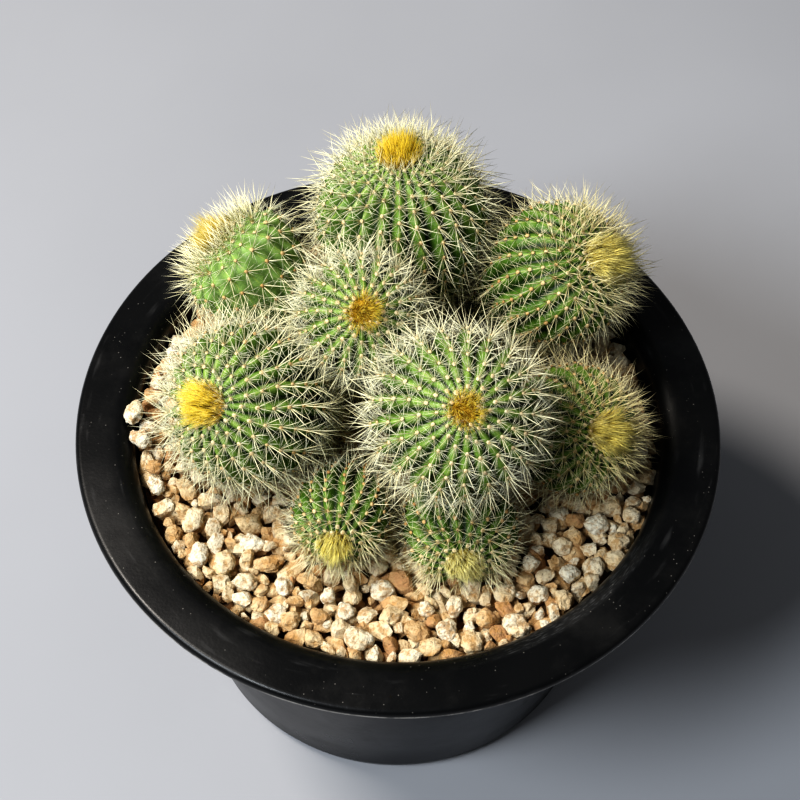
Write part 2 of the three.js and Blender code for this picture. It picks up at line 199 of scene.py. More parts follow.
class PlantSettings(bpy.types.PropertyGroup):
    rib_depth: number_setting("Rib depth", "Depth of a furrow, as a share of the radius", 0.2, 0.02, 0.4)
    areole_pitch: number_setting(
        "Areole spacing", "Distance between areoles along a rib, as a share of what each head has",
        1.0, 0.5, 3,
    )
    tubercle: number_setting("Chin height", "How far a rib swells at each areole, in mm", 0.5, 0, 2)
    radial_length: number_setting("Radial length", "Longest radial spines, in mm", 7.6, 1, 20)
    central_length: number_setting("Central length", "Longest central spines, in mm", 11.5, 1, 30)
    young_length: number_setting("Young length", "Longest bristles round the crown, in mm", 10.0, 1, 30)
    felt_size: number_setting("Felt size", "Half the length of an areole's felt, in mm", 0.6, 0.1, 3)
    keel_green: colour_setting("Keel green", "Line along a rib's crest", (0.31, 0.41, 0.09))
    young_green: colour_setting("Young green", "Ribs' flanks near the crown", (0.165, 0.285, 0.048))
    old_green: colour_setting("Old green", "Ribs' flanks low on a head", (0.06, 0.14, 0.012))
    pale_green: colour_setting("Pale green", "Flanks of the duller heads", (0.22, 0.35, 0.1))
    # Painted shade: the colour that darkens the furrows between the ribs
    furrow_shade: colour_setting("Furrow shade", "Furrows between the ribs", (0.006, 0.02, 0.001))


class GravelSettings(bpy.types.PropertyGroup):
    largest: number_setting("Largest grain", "Length of the largest grains, in mm", 6.4, 1, 20)
    smallest: number_setting("Smallest grain", "Length of the smallest grains, in mm", 2.2, 0.5, 20)
    seed: IntProperty(name="Seed", description="Seed of the grains' places and shapes", default=11)
    light_stone: colour_setting("Light stone", "The palest grains", (0.86, 0.76, 0.56))
    # The brown end of the stones' run, where the lower layers' painted shade also leads.
    dark_stone: colour_setting("Dark stone", "The brownest grains", (0.5, 0.28, 0.13))


class PotSettings(bpy.types.PropertyGroup):
    plastic: colour_setting("Plastic", "Colour of the pot's plastic", (0.0036, 0.0039, 0.0043))
    roughness: number_setting("Sheen spread", "Roughness of the clean plastic", 0.3, 0, 1)
    dust: number_setting("Dust", "How much pale dust lies on the brim", 0.3, 0, 1)


class StageSettings(bpy.types.PropertyGroup):
    distance: number_setting(
        "Camera distance", "From the camera to the point it looks at", 0.5496, 0, 10,
        subtype="DISTANCE", unit="LENGTH",
    )
    elevation: number_setting(
        "Camera elevation", "Angle of the line of sight above level", math.radians(56.13),
        0, QUARTER_TURN, subtype="ANGLE",
    )
    roll: number_setting(
        "Camera roll", "Turn of the camera about its line of sight", math.radians(-1.3),
        -math.pi, math.pi, subtype="ANGLE",
    )
    floor_colour: colour_setting("Floor", "Colour of the plain floor", (0.325, 0.332, 0.352))
    key_power: number_setting("Key light", "Power of the warm light, back left, in W", 14.2, 0, 100)
    second_power: number_setting("Second light", "Power of the cooler light, front left, in W", 14.6, 0, 100)
    room: number_setting("Room light", "Strength of the even light of the room", 0.145, 0, 10)


# Node trees


class Term:
    """What a node puts out. Arithmetic with terms and numbers adds the nodes that work it out."""

    def __init__(self, maker, socket):
        self.maker = maker
        self.socket = socket

    def __getitem__(self, label):
        """Another output of the same node."""
        return Term(self.maker, socket_of(self.socket.node.outputs, label))

    def __add__(self, other):
        return self.maker.arithmetic("ADD", self, other)

    def __radd__(self, other):
        return self.maker.arithmetic("ADD", other, self)

    def __sub__(self, other):
        return self.maker.arithmetic("SUBTRACT", self, other)

    def __rsub__(self, other):
        return self.maker.arithmetic("SUBTRACT", other, self)

    def __mul__(self, other):
        return self.maker.arithmetic("MULTIPLY", self, other)

    def __truediv__(self, other):
        return self.maker.arithmetic("DIVIDE", self, other)


def socket_of(sockets, key):
    """A socket by its place, or the first one in use that has this name."""
    if isinstance(key, int):
        return sockets[key]
    return next(socket for socket in sockets if socket.name == key and socket.enabled)


def is_vector(value):
    return isinstance(value, tuple) or isinstance(value, Term) and value.socket.type == "VECTOR"


def rgba(colour):
    return colour if isinstance(colour, Term) else (*tuple(colour)[:3], 1.0)


class TreeMaker:
    """Adds nodes to a tree and feeds their inputs, so that a tree reads in the order it works."""

    def __init__(self, tree, material=None, outputs=None):
        self.tree = tree
        self.material = material
        self.outputs = outputs

    def add(self, kind, feeds=None, **settings):
        """A new node's first output in use."""
        node = self.tree.nodes.new(kind)
        for name, value in settings.items():
            setattr(node, name, value)
        for key, value in (feeds or {}).items():
            self.feed(socket_of(node.inputs, key), value)
        return Term(self, next(socket for socket in node.outputs if socket.enabled))

    def feed(self, socket, value):
        if isinstance(value, Term):
            self.tree.links.new(value.socket, socket)
        else:
            socket.default_value = value

    def give(self, **values):
        """Feeds a group's outputs, and returns its tree."""
        for label, value in values.items():
            self.feed(self.outputs[label], value)
        return self.tree

    def math(self, operation, *terms, clamp=False):
        return self.add("ShaderNodeMath", dict(enumerate(terms)), operation=operation, use_clamp=clamp)

    def vector(self, operation, *terms):
        places = (0, "Scale") if operation == "SCALE" else range(len(terms))
        return self.add("ShaderNodeVectorMath", dict(zip(places, terms)), operation=operation)

    def arithmetic(self, operation, first, second):
        """A sum, difference, product or quotient of numbers or of vectors."""
        vectors = is_vector(first) + is_vector(second)
        if operation == "MULTIPLY" and vectors == 1:
            pair = (first, second) if is_vector(first) else (second, first)
            return self.vector("SCALE", *pair)
        work = self.vector if vectors else self.math
        return work(operation, first, second)

    def combine(self, x, y=0.0, z=0.0):
        return self.add("ShaderNodeCombineXYZ", {"X": x, "Y": y, "Z": z})

    def noise(self, vector, scale, detail=2.0, roughness=0.5):
        feeds = {"Vector": vector, "Scale": scale, "Detail": detail, "Roughness": roughness}
        return self.add("ShaderNodeTexNoise", feeds)["Fac"]

    def cells(self, vector, scale):
        """Distance to the nearest of many scattered points."""
        return self.add("ShaderNodeTexVoronoi", {"Vector": vector, "Scale": scale})["Distance"]

    def mix(self, share, dark, light):
        feeds = {"Factor": share, "A": rgba(dark), "B": rgba(light)}
        return self.add("ShaderNodeMix", feeds, data_type="RGBA")["Result"]

    def paint(self, colour, *layers):
        """A colour under layers, each a share and the colour that it brings."""
        for share, layer in layers:
            colour = self.mix(share, colour, layer)
        return colour

    def remap(self, value, low, high, to_low=0.0, to_high=1.0, smooth=True):
        feeds = {"Value": value, "From Min": low, "From Max": high, "To Min": to_low, "To Max": to_high}
        kind = "SMOOTHSTEP" if smooth else "LINEAR"
        return self.add("ShaderNodeMapRange", feeds, interpolation_type=kind)["Result"]

    def ramp(self, value, stops):
        run = self.add("ShaderNodeValToRGB", {"Fac": value})["Color"]
        elements = run.socket.node.color_ramp.elements
        elements[0].position, elements[0].color = stops[0][0], rgba(stops[0][1])
        elements[1].position, elements[1].color = stops[-1][0], rgba(stops[-1][1])
        for place, colour in stops[1:-1]:
            elements.new(place).color = rgba(colour)
        return run

    def random(self, low, high, seed, key, data_type="FLOAT"):
        feeds = {"Min": low, "Max": high, "Seed": seed, "ID": key}
        return self.add("FunctionNodeRandomValue", feeds, data_type=data_type)

    def attribute(self, name, data_type="FLOAT"):
        """A value that a geometry's points carry."""
        return self.add("GeometryNodeInputNamedAttribute", {"Name": name}, data_type=data_type)

    def keep(self, geometry, name, value, data_type="FLOAT", domain="POINT"):
        """Has a geometry carry a value under a name."""
        feeds = {"Geometry": geometry, "Name": name, "Value": value}
        return self.add("GeometryNodeStoreNamedAttribute", feeds, data_type=data_type, domain=domain)

    def move(self, geometry, **feeds):
        return self.add("GeometryNodeSetPosition", {"Geometry": geometry, **feeds})

    def plant(self, points, instance, **feeds):
        feeds = {"Points": points, "Instance": instance, **feeds}
        return self.add("GeometryNodeInstanceOnPoints", feeds)

    def end_piece(self, geometry, material, dropped=(), fold=None):
        """Ends a tree: one real mesh without helper values, smooth but for sharp folds, in a material."""
        made = self.add("GeometryNodeRealizeInstances", {"Geometry": geometry})
        for name in dropped:
            made = self.add("GeometryNodeRemoveAttribute", {"Geometry": made, "Name": name})
        made = self.add("GeometryNodeSetShadeSmooth", {"Geometry": made})
        if fold:
            angle = self.add("GeometryNodeInputMeshEdgeAngle")["Unsigned Angle"]
            feeds = {"A": angle, "B": math.radians(fold)}
            steep = self.add("FunctionNodeCompare", feeds, data_type="FLOAT", operation="GREATER_THAN")
            feeds = {"Geometry": made, "Selection": steep, "Shade Smooth": False}
            made = self.add("GeometryNodeSetShadeSmooth", feeds, domain="EDGE")
        coated = self.add("GeometryNodeSetMaterial", {"Geometry": made, "Material": material})
        return self.give(Geometry=coated)

    def spot(self):
        """The place on a piece, in its own metres."""
        return self.add("ShaderNodeTexCoord")["Object"]

    def surface(self, name):
        """A number that a piece's surface carries, for a material."""
        return self.add("ShaderNodeAttribute", attribute_name=name)["Fac"]

    def group(self, build, name, **feeds):
        """A shared shader group, built the first time that it is used."""
        tree = bpy.data.node_groups.get(name) or build(name)
        feeds = {label.replace("_", " "): value for label, value in feeds.items()}
        return self.add("ShaderNodeGroup", feeds, node_tree=tree)

    def coat(self, colour, roughness, height=None, distance=0.0, strength=1.0, specular=None):
        """Feeds the material's shader, and returns the material."""
        shader = self.tree.nodes["Principled BSDF"].inputs
        self.feed(shader["Base Color"], colour)
        self.feed(shader["Roughness"], roughness)
        if specular is not None:
            shader["Specular IOR Level"].default_value = specular
        if height is not None:
            feeds = {"Height": height, "Distance": distance, "Strength": strength}
            self.feed(shader["Normal"], self.add("ShaderNodeBump", feeds)["Normal"])
        return self.material


def node_group(name, kind, inputs, outputs):
    """The maker and inputs of a node group. Each input is given by its default, or by its kind alone."""
    tree = bpy.data.node_groups.new(name, f"{kind}NodeTree")
    for label, given in inputs.items():
        word = given if isinstance(given, str) else {int: "Int", float: "Float"}[type(given)]
        socket = tree.interface.new_socket(label, in_out="INPUT", socket_type=f"NodeSocket{word}")
        if word != given:
            socket.default_value = given
    for label, word in outputs.items():
        tree.interface.new_socket(label, in_out="OUTPUT", socket_type=f"NodeSocket{word}")
    maker = TreeMaker(tree, outputs=tree.nodes.new("NodeGroupOutput").inputs)
    sockets = tree.nodes.new("NodeGroupInput").outputs
    return maker, {socket.name: Term(maker, socket) for socket in sockets if socket.name}


def geometry_tree(name, inputs):
    kind = {"Geometry": "Geometry"}
    return node_group(name, "Geometry", {**kind, **inputs, "Material": "Material"}, kind)


def finish(name, viewport_colour):
    """The maker of a new material's tree."""
    material = bpy.data.materials.new(name)
    material.use_nodes = True
    material.diffuse_color = rgba(viewport_colour)
    return TreeMaker(material.node_tree, material)


def grain_group(name):
    """Fine grain and small pits of worn stone or crumbs, in the piece's own metres."""
    maker, inputs = node_group(
        name, "Shader", {"Vector": "Vector", "Grain size": 400.0, "Pit size": 700.0, "Pit share": 0.3},
        {"Grain": "Float", "Pits": "Float", "Height": "Float"},
    )
    grain = maker.noise(inputs["Vector"], inputs["Grain size"], 6.0, 0.62)
    share = inputs["Pit share"]
    pits = 1.0 - maker.remap(maker.cells(inputs["Vector"], inputs["Pit size"]), share * 0.4, share)
    return maker.give(Grain=grain, Pits=pits, Height=grain - pits * 0.5)


def dust_group(name):
    """Pale dust specks and a cloudy film, as two masks."""
    maker, inputs = node_group(
        name, "Shader", {"Vector": "Vector", "Amount": 0.5}, {"Film": "Float", "Specks": "Float"},
    )
    spot, amount = inputs["Vector"], inputs["Amount"]
    film = maker.remap(maker.noise(spot, 45.0, 8.0, 0.7), 0.42, 0.75)
    small = maker.remap(maker.cells(spot, 620.0), 0.12, 0.05)
    some = maker.remap(maker.noise(spot, 110.0, 3.0), 0.44, 0.56)
    return maker.give(Film=film * amount, Specks=small * some * amount)


# Meshes and pieces


def new_object(name, data):
    made = bpy.data.objects.new(name, data)
    bpy.context.scene.collection.objects.link(made)
    return made


def new_mesh(name, vertices, faces=(), values=None):
    """A mesh whose points may carry named numbers or vectors."""
    mesh = bpy.data.meshes.new(name)
    mesh.from_pydata([tuple(v) for v in vertices], [], faces)
    for label, numbers in (values or {}).items():
        numbers = np.asarray(numbers, np.float32)
        kind, field = ("FLOAT_VECTOR", "vector") if numbers.ndim == 2 else ("FLOAT", "value")
        mesh.attributes.new(label, kind, "POINT").data.foreach_set(field, numbers.ravel())
    return mesh


def ring_faces(rows, count, inside_out=False):
    """Faces of a closed mesh: a point, rows of rings from there down, and a point."""
    last = 1 + rows * count
    faces = []
    for k in range(count):
        n = (k + 1) % count
        faces.append((0, 1 + k, 1 + n))
        for a in range(1, last - count, count):
            b = a + count
            faces.append((a + k, b + k, b + n, a + n))
        faces.append((last, last - count + n, last - count + k))
    return [(face[0], *reversed(face[1:])) for face in faces] if inside_out else faces


def grow_piece(name, slot, tree, mesh, values, replaced=()):
    """Runs a geometry tree on a mesh and places its result as a plain piece of that name."""
    piece = new_object(name, mesh)
    modifier = piece.modifiers.new("Maker", "NODES")
    modifier.node_group = tree
    identifiers = {
        item.name: item.identifier
        for item in tree.interface.items_tree
        if item.item_type == "SOCKET" and item.in_out == "INPUT"
    }
    for label, value in values.items():
        modifier[identifiers[label]] = value
    piece.data = evaluated_mesh(piece)
    piece.data.name = name
    piece.modifiers.clear()
    bpy.data.meshes.remove(mesh)
    place(piece, slot, replaced)


def evaluated_mesh(piece):
    bpy.context.view_layer.update()
    evaluated = piece.evaluated_get(bpy.context.evaluated_depsgraph_get())
    return bpy.data.meshes.new_from_object(evaluated)


def place(piece, slot, replaced=()):
    """Puts a finished piece on the plant's body, and hides what it stands for."""
    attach(piece, BODY)
    if replaced:
        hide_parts(*replaced)


# Heads


def aim(lean, heading):
    """A direction that leans so many degrees from straight up towards a heading."""
    lean, heading = math.radians(lean), math.radians(heading)
    out = math.sin(lean)
    return np.array([out * math.cos(heading), out * math.sin(heading), math.cos(lean)])


def crown_axis(head):
    return aim(head["lean"], head["heading"])


def smooth_step(x):
    t = np.clip(x, 0, 1)
    return t * t * (3 - 2 * t)


def unit(vector):
    return vector / np.linalg.norm(vector)


def unit_rows(vectors):
    return vectors / np.linalg.norm(vectors, axis=1)[:, None]


def along(line, knots, at):
    """The point at a distance along a line of points."""
    return np.array([np.interp(at, knots, line[:, i]) for i in range(3)])


def crown_dip(share):
    return CROWN_DIP * (1 - smooth_step(share / 0.3))


def stem_line(head):
    """Evenly spaced points down the stem's middle line, from the widest ring to the foot, and its length."""
    points = 241
    handle_share = 0.38
    foot = np.array([*head["foot"], HEAD_FOOT_HEIGHT])
    centre = np.array(head["centre"], float)
    handle = np.linalg.norm(centre - foot) * handle_share
    knots = [foot, foot + (0, 0, handle), centre - crown_axis(head) * handle, centre]
    t = np.linspace(1, 0, points)[:, None]
    s = 1 - t
    line = s**3 * knots[0] + 3 * s**2 * t * knots[1] + 3 * s * t**2 * knots[2] + t**3 * knots[3]
    drops = np.concatenate([[0], np.cumsum(np.linalg.norm(np.diff(line, axis=0), axis=1))])
    return line, drops


def head_rings(head, spacing):
    """Rings from crown to foot: place, facing, side, across, radius and distance from the crown."""
    radius = head["radius"]
    axis = crown_axis(head)
    centre = np.array(head["centre"], float)
    rises = np.linspace(QUARTER_TURN, 0, max(6, round(radius * 1.52 / spacing)))[1:]
    lift = head["dome"] * np.sin(rises) - crown_dip(np.cos(rises))
    places = [centre + axis * radius * value for value in lift]
    facings = [axis] * len(rises)
    radii = list(radius * np.cos(rises))
    line, drops = stem_line(head)
    step = 0.4
    waist = radius * head["waist"]
    for drop in np.linspace(0, drops[-1], max(4, round(drops[-1] / spacing)))[1:]:
        above = along(line, drops, max(drop - step, 0))
        under = along(line, drops, min(drop + step, drops[-1]))
        places.append(along(line, drops, drop))
        facings.append(unit(above - under))
        radii.append(waist + (radius - waist) * (1 - float(smooth_step(drop / (WAIST_DROP * radius)))))
    sides = []
    side = np.array([1.0, 0, 0])
    for facing in facings:
        side = unit(side - facing * side.dot(facing))
        sides.append(side)
    places, facings, sides, radii = (np.array(v) for v in (places, facings, sides, radii))
    top = centre + axis * radius * (head["dome"] - CROWN_DIP)
    steps = np.hypot(
        np.linalg.norm(np.diff(places, axis=0, prepend=[top]), axis=1), np.diff(radii, prepend=0.0)
    )
    return {
        "place": places, "facing": facings, "side": sides, "across": np.cross(facings, sides),
        "radius": radii, "run": np.cumsum(steps), "top": top,
    }


def areole_count_at(run, pitch):
    """How many areoles lie between the crown and a distance down a rib. They crowd towards the crown."""
    return (run + np.sqrt(run * run + 4 * pitch * AREOLE_CROWDING * run)) / (2 * pitch)


def rib_offset(rib):
    """Neighbouring ribs carry their areoles at different heights, as a spiral."""
    return (rib * 0.382) % 1.0


def rib_wobble(run, rib):
    """Ribs aren't quite straight: a small sideways sway, in shares of a rib."""
    return 0.07 * np.sin(run * 0.33 + rib * 1.9) * np.minimum(1, run / 8)


def head_surface(head, settings):
    """The smooth head before its ribs: a closed grid whose points know their rib, furrow and areole."""
    per_rib = 6
    spacing = 0.85
    rings = head_rings(head, spacing)
    ribs = head["ribs"]
    count = ribs * per_rib
    phase = np.arange(count) / per_rib
    rib = np.rint(phase) % ribs
    rows = len(rings["radius"])
    pitch = head["pitch"] * settings.areole_pitch
    points, outward, areoles = [], [], []
    for i, run in enumerate(rings["run"]):
        angles = (phase + rib_wobble(run, rib)) / ribs * 2 * math.pi
        out = rings["side"][i] * np.cos(angles)[:, None] + rings["across"][i] * np.sin(angles)[:, None]
        points.append(rings["place"][i] + out * rings["radius"][i])
        outward.append(out)
        areoles.append(areole_count_at(run, pitch) - rib_offset(rib))
    positions = np.concatenate([[rings["top"]], *points, [rings["place"][-1]]]) * MM
    share = np.minimum(1, rings["radius"] / head["radius"])
    depths = head["radius"] * settings.rib_depth * head["relief"] * share
    runs = np.concatenate([[0], np.repeat(rings["run"], count), [rings["run"][-1]]])
    return new_mesh("surface", positions, ring_faces(rows, count), {
        "outward": np.concatenate([[crown_axis(head)], *outward, [-rings["facing"][-1]]]),
        "crown_run": runs,
        "wool": runs / head["tuft"],
        "gold": np.full(len(runs), head["gold"]),
        "rib_phase": np.concatenate([[0], np.tile(phase, rows), [0]]),
        "areole_phase": np.concatenate([[0], *areoles, [0]]),
        "rib_depth": np.concatenate([[0], np.repeat(depths, count), [0]]),
        "pale": np.full(len(runs), head["pale"]),
    })


def ribbed_tree():
    """Presses furrows into a smooth head and swells each rib at its areoles."""
    maker, inputs = geometry_tree("Ribbed head", {"Chin height": 0.5 * MM, "Keel roundness": 0.4})
    between = maker.math("PINGPONG", maker.attribute("rib_phase"), 0.5)
    straight = 1.0 - between * 2.0
    rounded = maker.math("SINE", straight * QUARTER_TURN)
    crest = straight + (rounded - straight) * inputs["Keel roundness"]
    furrow = (1.0 - crest) * maker.attribute("rib_depth")
    swell = maker.math("COSINE", maker.attribute("areole_phase") * FULL_TURN) * inputs["Chin height"]
    young = maker.remap(maker.attribute("crown_run"), 2.0, 9.0)
    depth = swell * maker.math("POWER", crest, 1.5) * young - furrow * MM
    moved = maker.move(inputs["Geometry"], Offset=maker.attribute("outward", "FLOAT_VECTOR") * depth)
    marked = maker.keep(moved, "crest", straight)
    return maker.end_piece(marked, inputs["Material"], ("outward", "rib_phase", "rib_depth"))


def skin_finish(settings):
    """Waxy green skin: pale keels, green flanks, painted shade in the furrows and on shaded heads, a
    wool-gold crown and a corky base.
    """
    maker = finish("Cactus skin", settings.young_green)
    crest, run, pale = (maker.surface(name) for name in ("crest", "crown_run", "pale"))
    mottle = maker.noise(maker.spot(), 190.0, 5.0, 0.6)
    flecks = maker.cells(maker.spot(), 1500.0)
    # The pale keel fades where an areole sits on it.
    bare = maker.math("COSINE", maker.surface("areole_phase") * FULL_TURN)
    line = maker.remap(crest, 0.84, 1.0) * maker.remap(bare, 1.0, -0.4, 0.2, 0.8)
    # Below 0, pale paints the skin a deeper green: painted shade on the heads that stand in the others'
    # shadow.
    head_shade_share, paler, clear = (maker.math("MULTIPLY", pale, share, clamp=True) for share in (-1.0, 1.0, 0.8))
    body = maker.paint(
        settings.young_green, (maker.remap(run + mottle * 8.0, 12.0, 38.0), settings.old_green),
        (head_shade_share, settings.old_green), (paler, settings.pale_green),
    )
    keel = maker.paint(
        body, (maker.remap(mottle, 0.42, 0.75, 0.0, 0.35), settings.keel_green), (line, settings.keel_green),
    )
    wool = maker.mix(maker.surface("gold"), (0.62, 0.5, 0.07), (0.6, 0.32, 0.02))
    # Towards each furrow the flanks run into the painted furrow shade, which the pale heads have lifted.
    skin = maker.paint(
        maker.mix(clear, settings.furrow_shade, body),
        (maker.remap(crest, 0.03, 0.65), keel),
        (maker.remap(flecks, 0.2, 0.08, 0.0, 0.25), (0.42, 0.5, 0.2)),
        (maker.remap(run + mottle * 14.0, 50.0, 64.0, 0.0, 0.7), (0.17, 0.12, 0.06)),
        (maker.remap(maker.surface("wool"), 1.05, 0.85), wool),
    )
    rough = maker.remap(mottle, 0.3, 0.7, 0.42, 0.6)
    return maker.coat(skin, rough, mottle + flecks * 0.3, 0.25 * MM, 0.6, specular=0.3)


def areoles_of(head, settings):
    """Each areole between a head's tuft and the gravel: place, facing, and direction and run to the crown."""
    clear_of_gravel = 1.2
    hidden_by_tuft = 0.8 * head["tuft"]
    step = 0.7
    rings = head_rings(head, 0.5)
    run = rings["run"]
    counts = areole_count_at(run, head["pitch"] * settings.areole_pitch)
    found = {"place": [], "normal": [], "crownward": [], "run": []}
    for rib in range(head["ribs"]):
        for here in np.interp(np.arange(1 + rib_offset(rib), counts[-1]), counts, run):
            angle = (rib + float(rib_wobble(here, rib))) / head["ribs"] * 2 * math.pi
            out = rings["side"] * math.cos(angle) + rings["across"] * math.sin(angle)
            line = rings["place"] + out * rings["radius"][:, None]
            spot = along(line, run, here)
            if here < hidden_by_tuft or spot[2] < gravel_height(spot[0], spot[1]) + clear_of_gravel:
                continue
            above = along(line, run, max(here - step, run[0]))
            below = along(line, run, min(here + step, run[-1]))
            crownward = unit(above - below)
            index = int(np.searchsorted(run, here).clip(0, len(run) - 1))
            sideways = rings["across"][index] * math.cos(angle) - rings["side"][index] * math.sin(angle)
            found["place"].append(spot)
            found["normal"].append(unit(np.cross(sideways, crownward)))
            found["crownward"].append(crownward)
            found["run"].append(here)
    return {label: np.array(values) for label, values in found.items()}


# What each point says of the growth on it
GROWTH_LABELS = ("facing", "crownward", "fan_turn", "erect", "vigour", "felt_size")


def spine_tree():
    """Sets a fan of slender, slightly bent spines on every point that it is given."""
    maker, inputs = geometry_tree("Spine fans", {
        "Count": 12, "Arc": 1.0, "Shortest": 4 * MM, "Longest": 7 * MM, "Lowest lift": 0.2,
        "Highest lift": 0.5, "Slenderness": 0.01, "Segments": 2, "Bend": 0.06, "Unevenness": 0.7, "Seed": 1,
    })
    cone = maker.add("GeometryNodeMeshCone", {
        "Vertices": 3, "Side Segments": inputs["Segments"], "Fill Segments": 1, "Radius Top": 0.0,
        "Radius Bottom": inputs["Slenderness"], "Depth": 1.0,
    }, fill_type="NGON")
    corner = maker.add("GeometryNodeInputPosition")
    height = maker.add("ShaderNodeSeparateXYZ", {0: corner})["Z"]
    fullness = maker.math("POWER", 1.03 - height, -0.45)
    spread = maker.combine(fullness, fullness, 1.0)
    bent = corner * spread + maker.combine(height * height * inputs["Bend"])
    needle = maker.move(maker.keep(cone, "spine_run", height), Position=bent)
    fans = maker.add(
        "GeometryNodeDuplicateElements", {"Geometry": inputs["Geometry"], "Amount": inputs["Count"]},
        domain="POINT",
    )
    own = maker.add("GeometryNodeInputIndex")

    def draw(low, high, offset):
        return maker.random(low, high, inputs["Seed"] + offset, own)

    jitter = draw(-0.5, 0.5, 0) * inputs["Unevenness"]
    share = (fans["Duplicate Index"] + 0.5 + jitter) / inputs["Count"] - 0.5
    fan_turn = share * inputs["Arc"] * FULL_TURN + maker.attribute("fan_turn")
    raised = draw(inputs["Lowest lift"], inputs["Highest lift"], 31)
    lift = maker.math("MINIMUM", maker.attribute("erect") + raised, 1.55)
    normal, crownward = (maker.attribute(name, "FLOAT_VECTOR") for name in ("facing", "crownward"))
    sideways = maker.vector("CROSS_PRODUCT", crownward, normal)
    flat = crownward * maker.math("COSINE", fan_turn) + sideways * maker.math("SINE", fan_turn)
    heading = flat * maker.math("COSINE", lift) + normal * maker.math("SINE", lift)
    aimed = maker.add("FunctionNodeAlignRotationToVector", {"Vector": heading}, axis="Z")
    roll = maker.add(
        "FunctionNodeAxisAngleToRotation", {"Axis": (0.0, 0.0, 1.0), "Angle": draw(0.0, FULL_TURN, 7)},
    )
    turned = maker.add(
        "FunctionNodeRotateRotation", {"Rotation": aimed, "Rotate By": roll}, rotation_space="LOCAL",
    )
    length = maker.attribute("vigour") * draw(inputs["Shortest"], inputs["Longest"], 13)
    planted = maker.plant(fans, needle, Rotation=turned, Scale=length)
    toned = maker.keep(planted, "spine_tone", draw(0.0, 1.0, 17), domain="INSTANCE")
    return maker.end_piece(toned, inputs["Material"], GROWTH_LABELS)


def fan_values(kind, count, longest, seed, material):
    """What the spine tree is told of one kind of spine."""
    values = dict(zip(FAN_FIELDS, FANS[kind]))
    values["Shortest"] *= longest
    return {**values, "Longest": longest, "Count": count, "Seed": seed, "Material": material}


def spine_finish(kind):
    """Glossy horn: pale along its length, browner at the root, and straw-coloured where it is old."""
    root, body, tip, straw = SPINE_COLOURS[kind]
    maker = finish(f"{kind.capitalize()} spine", body)
    run = maker.ramp(maker.surface("spine_run"), [(0.0, root), (0.18, body), (0.8, body), (1.0, tip)])
    streak = maker.noise(maker.spot(), 700.0)
    age = maker.surface("straw") + maker.remap(streak, 0.3, 0.7, -0.1, 0.1)
    browner = maker.remap(maker.surface("spine_tone"), 0.6, 1.0, 0.0, 0.3)
    horn = maker.paint(run, (maker.remap(age, 0.0, 1.0, smooth=False), straw), (browner, root))
    return maker.coat(horn, maker.remap(streak, 0.3, 0.7, 0.3, 0.45))


def bristle_finish():
    """Crown bristles: gold or lemon by their head, deeper at the root, rusty or faded towards the edge, with
    painted shade on lit heads and painted light on shaded ones.
    """
    maker = finish("Crown bristle", (0.85, 0.6, 0.08))
    run = maker.surface("spine_run")
    lemon = maker.ramp(run, [(0.0, (0.8, 0.65, 0.1)), (0.4, (0.94, 0.85, 0.22)), (1.0, (0.95, 0.91, 0.46))])
    gold = maker.ramp(run, [(0.0, (0.58, 0.36, 0.01)), (0.4, (0.8, 0.57, 0.018)), (1.0, (0.82, 0.63, 0.05))])
    streak = maker.noise(maker.spot(), 500.0)
    varied = (maker.surface("spine_tone") - 0.5) * maker.remap(streak, 0.3, 0.7, 0.2, 0.5)
    bristle = maker.paint(
        lemon, (maker.math("ADD", maker.surface("gold"), varied, clamp=True), gold),
        (maker.surface("fade"), (0.94, 0.9, 0.56)), (maker.surface("rust"), (0.5, 0.3, 0.03)),
        # Painted shade: the shade value deepens the tufts of heads that face the light.
        (maker.surface("shade"), (0.34, 0.24, 0.03)),
    )
    return maker.coat(bristle, maker.remap(streak, 0.3, 0.7, 0.38, 0.55), specular=0.3)


def felt_tree():
    """Sets a small oval cushion of felt on every areole."""
    maker, inputs = geometry_tree("Areole felt", {"Size": 0.6 * MM})
    ball = maker.add("GeometryNodeMeshUVSphere", {"Radius": 1.0, "Segments": 7, "Rings": 4})
    spot = maker.add("GeometryNodeInputPosition")
    rough = maker.move(ball, Offset=spot * (maker.noise(spot, 2.6) * 1.2 - 0.6))
    marked = maker.keep(rough, "felt_top", maker.add("ShaderNodeSeparateXYZ", {0: spot})["Z"])
    normal, crownward = (maker.attribute(name, "FLOAT_VECTOR") for name in ("facing", "crownward"))
    turned = maker.add("FunctionNodeAlignRotationToVector", {"Vector": normal}, axis="Z")
    swung = maker.add(
        "FunctionNodeAlignRotationToVector", {"Rotation": turned, "Vector": crownward},
        axis="X", pivot_axis="Z",
    )
    size = inputs["Size"] * maker.attribute("felt_size") * (1.15, 0.9, 0.62)
    planted = maker.plant(inputs["Geometry"], marked, Rotation=swung, Scale=size)
    return maker.end_piece(planted, inputs["Material"], GROWTH_LABELS)


def felt_finish():
    """Areole felt: cream wool with a tan heart near the crown, that weathers to orange brown."""
    maker = finish("Areole felt", (0.8, 0.66, 0.42))
    fibre = maker.noise(maker.spot(), 2200.0, 4.0, 0.7)
    aged = maker.ramp(maker.surface("age"), [
        (0.0, (0.84, 0.75, 0.52)), (0.45, (0.78, 0.62, 0.36)),
        (0.75, (0.58, 0.38, 0.16)), (1.0, (0.42, 0.24, 0.09)),
    ])
    heart = maker.remap(maker.surface("felt_top"), 0.55, 0.95) * fibre
    wool = maker.paint(
        aged, (maker.remap(heart, 0.2, 0.55, 0.0, 0.7), (0.58, 0.33, 0.12)),
        (maker.remap(fibre, 0.55, 0.8, 0.0, 0.3), (0.7, 0.5, 0.22)),
    )
    return maker.coat(wool, maker.remap(fibre, 0.2, 0.8, 0.85, 1.0), fibre, 0.15 * MM)


def growth_points(found, growth):
    """Points for the spine and felt trees, with how each one's growth faces, stands and ages."""
    facing = {"facing": found["normal"], "crownward": found["crownward"]}
    return new_mesh("points", found["place"] * MM, values={**facing, **growth})


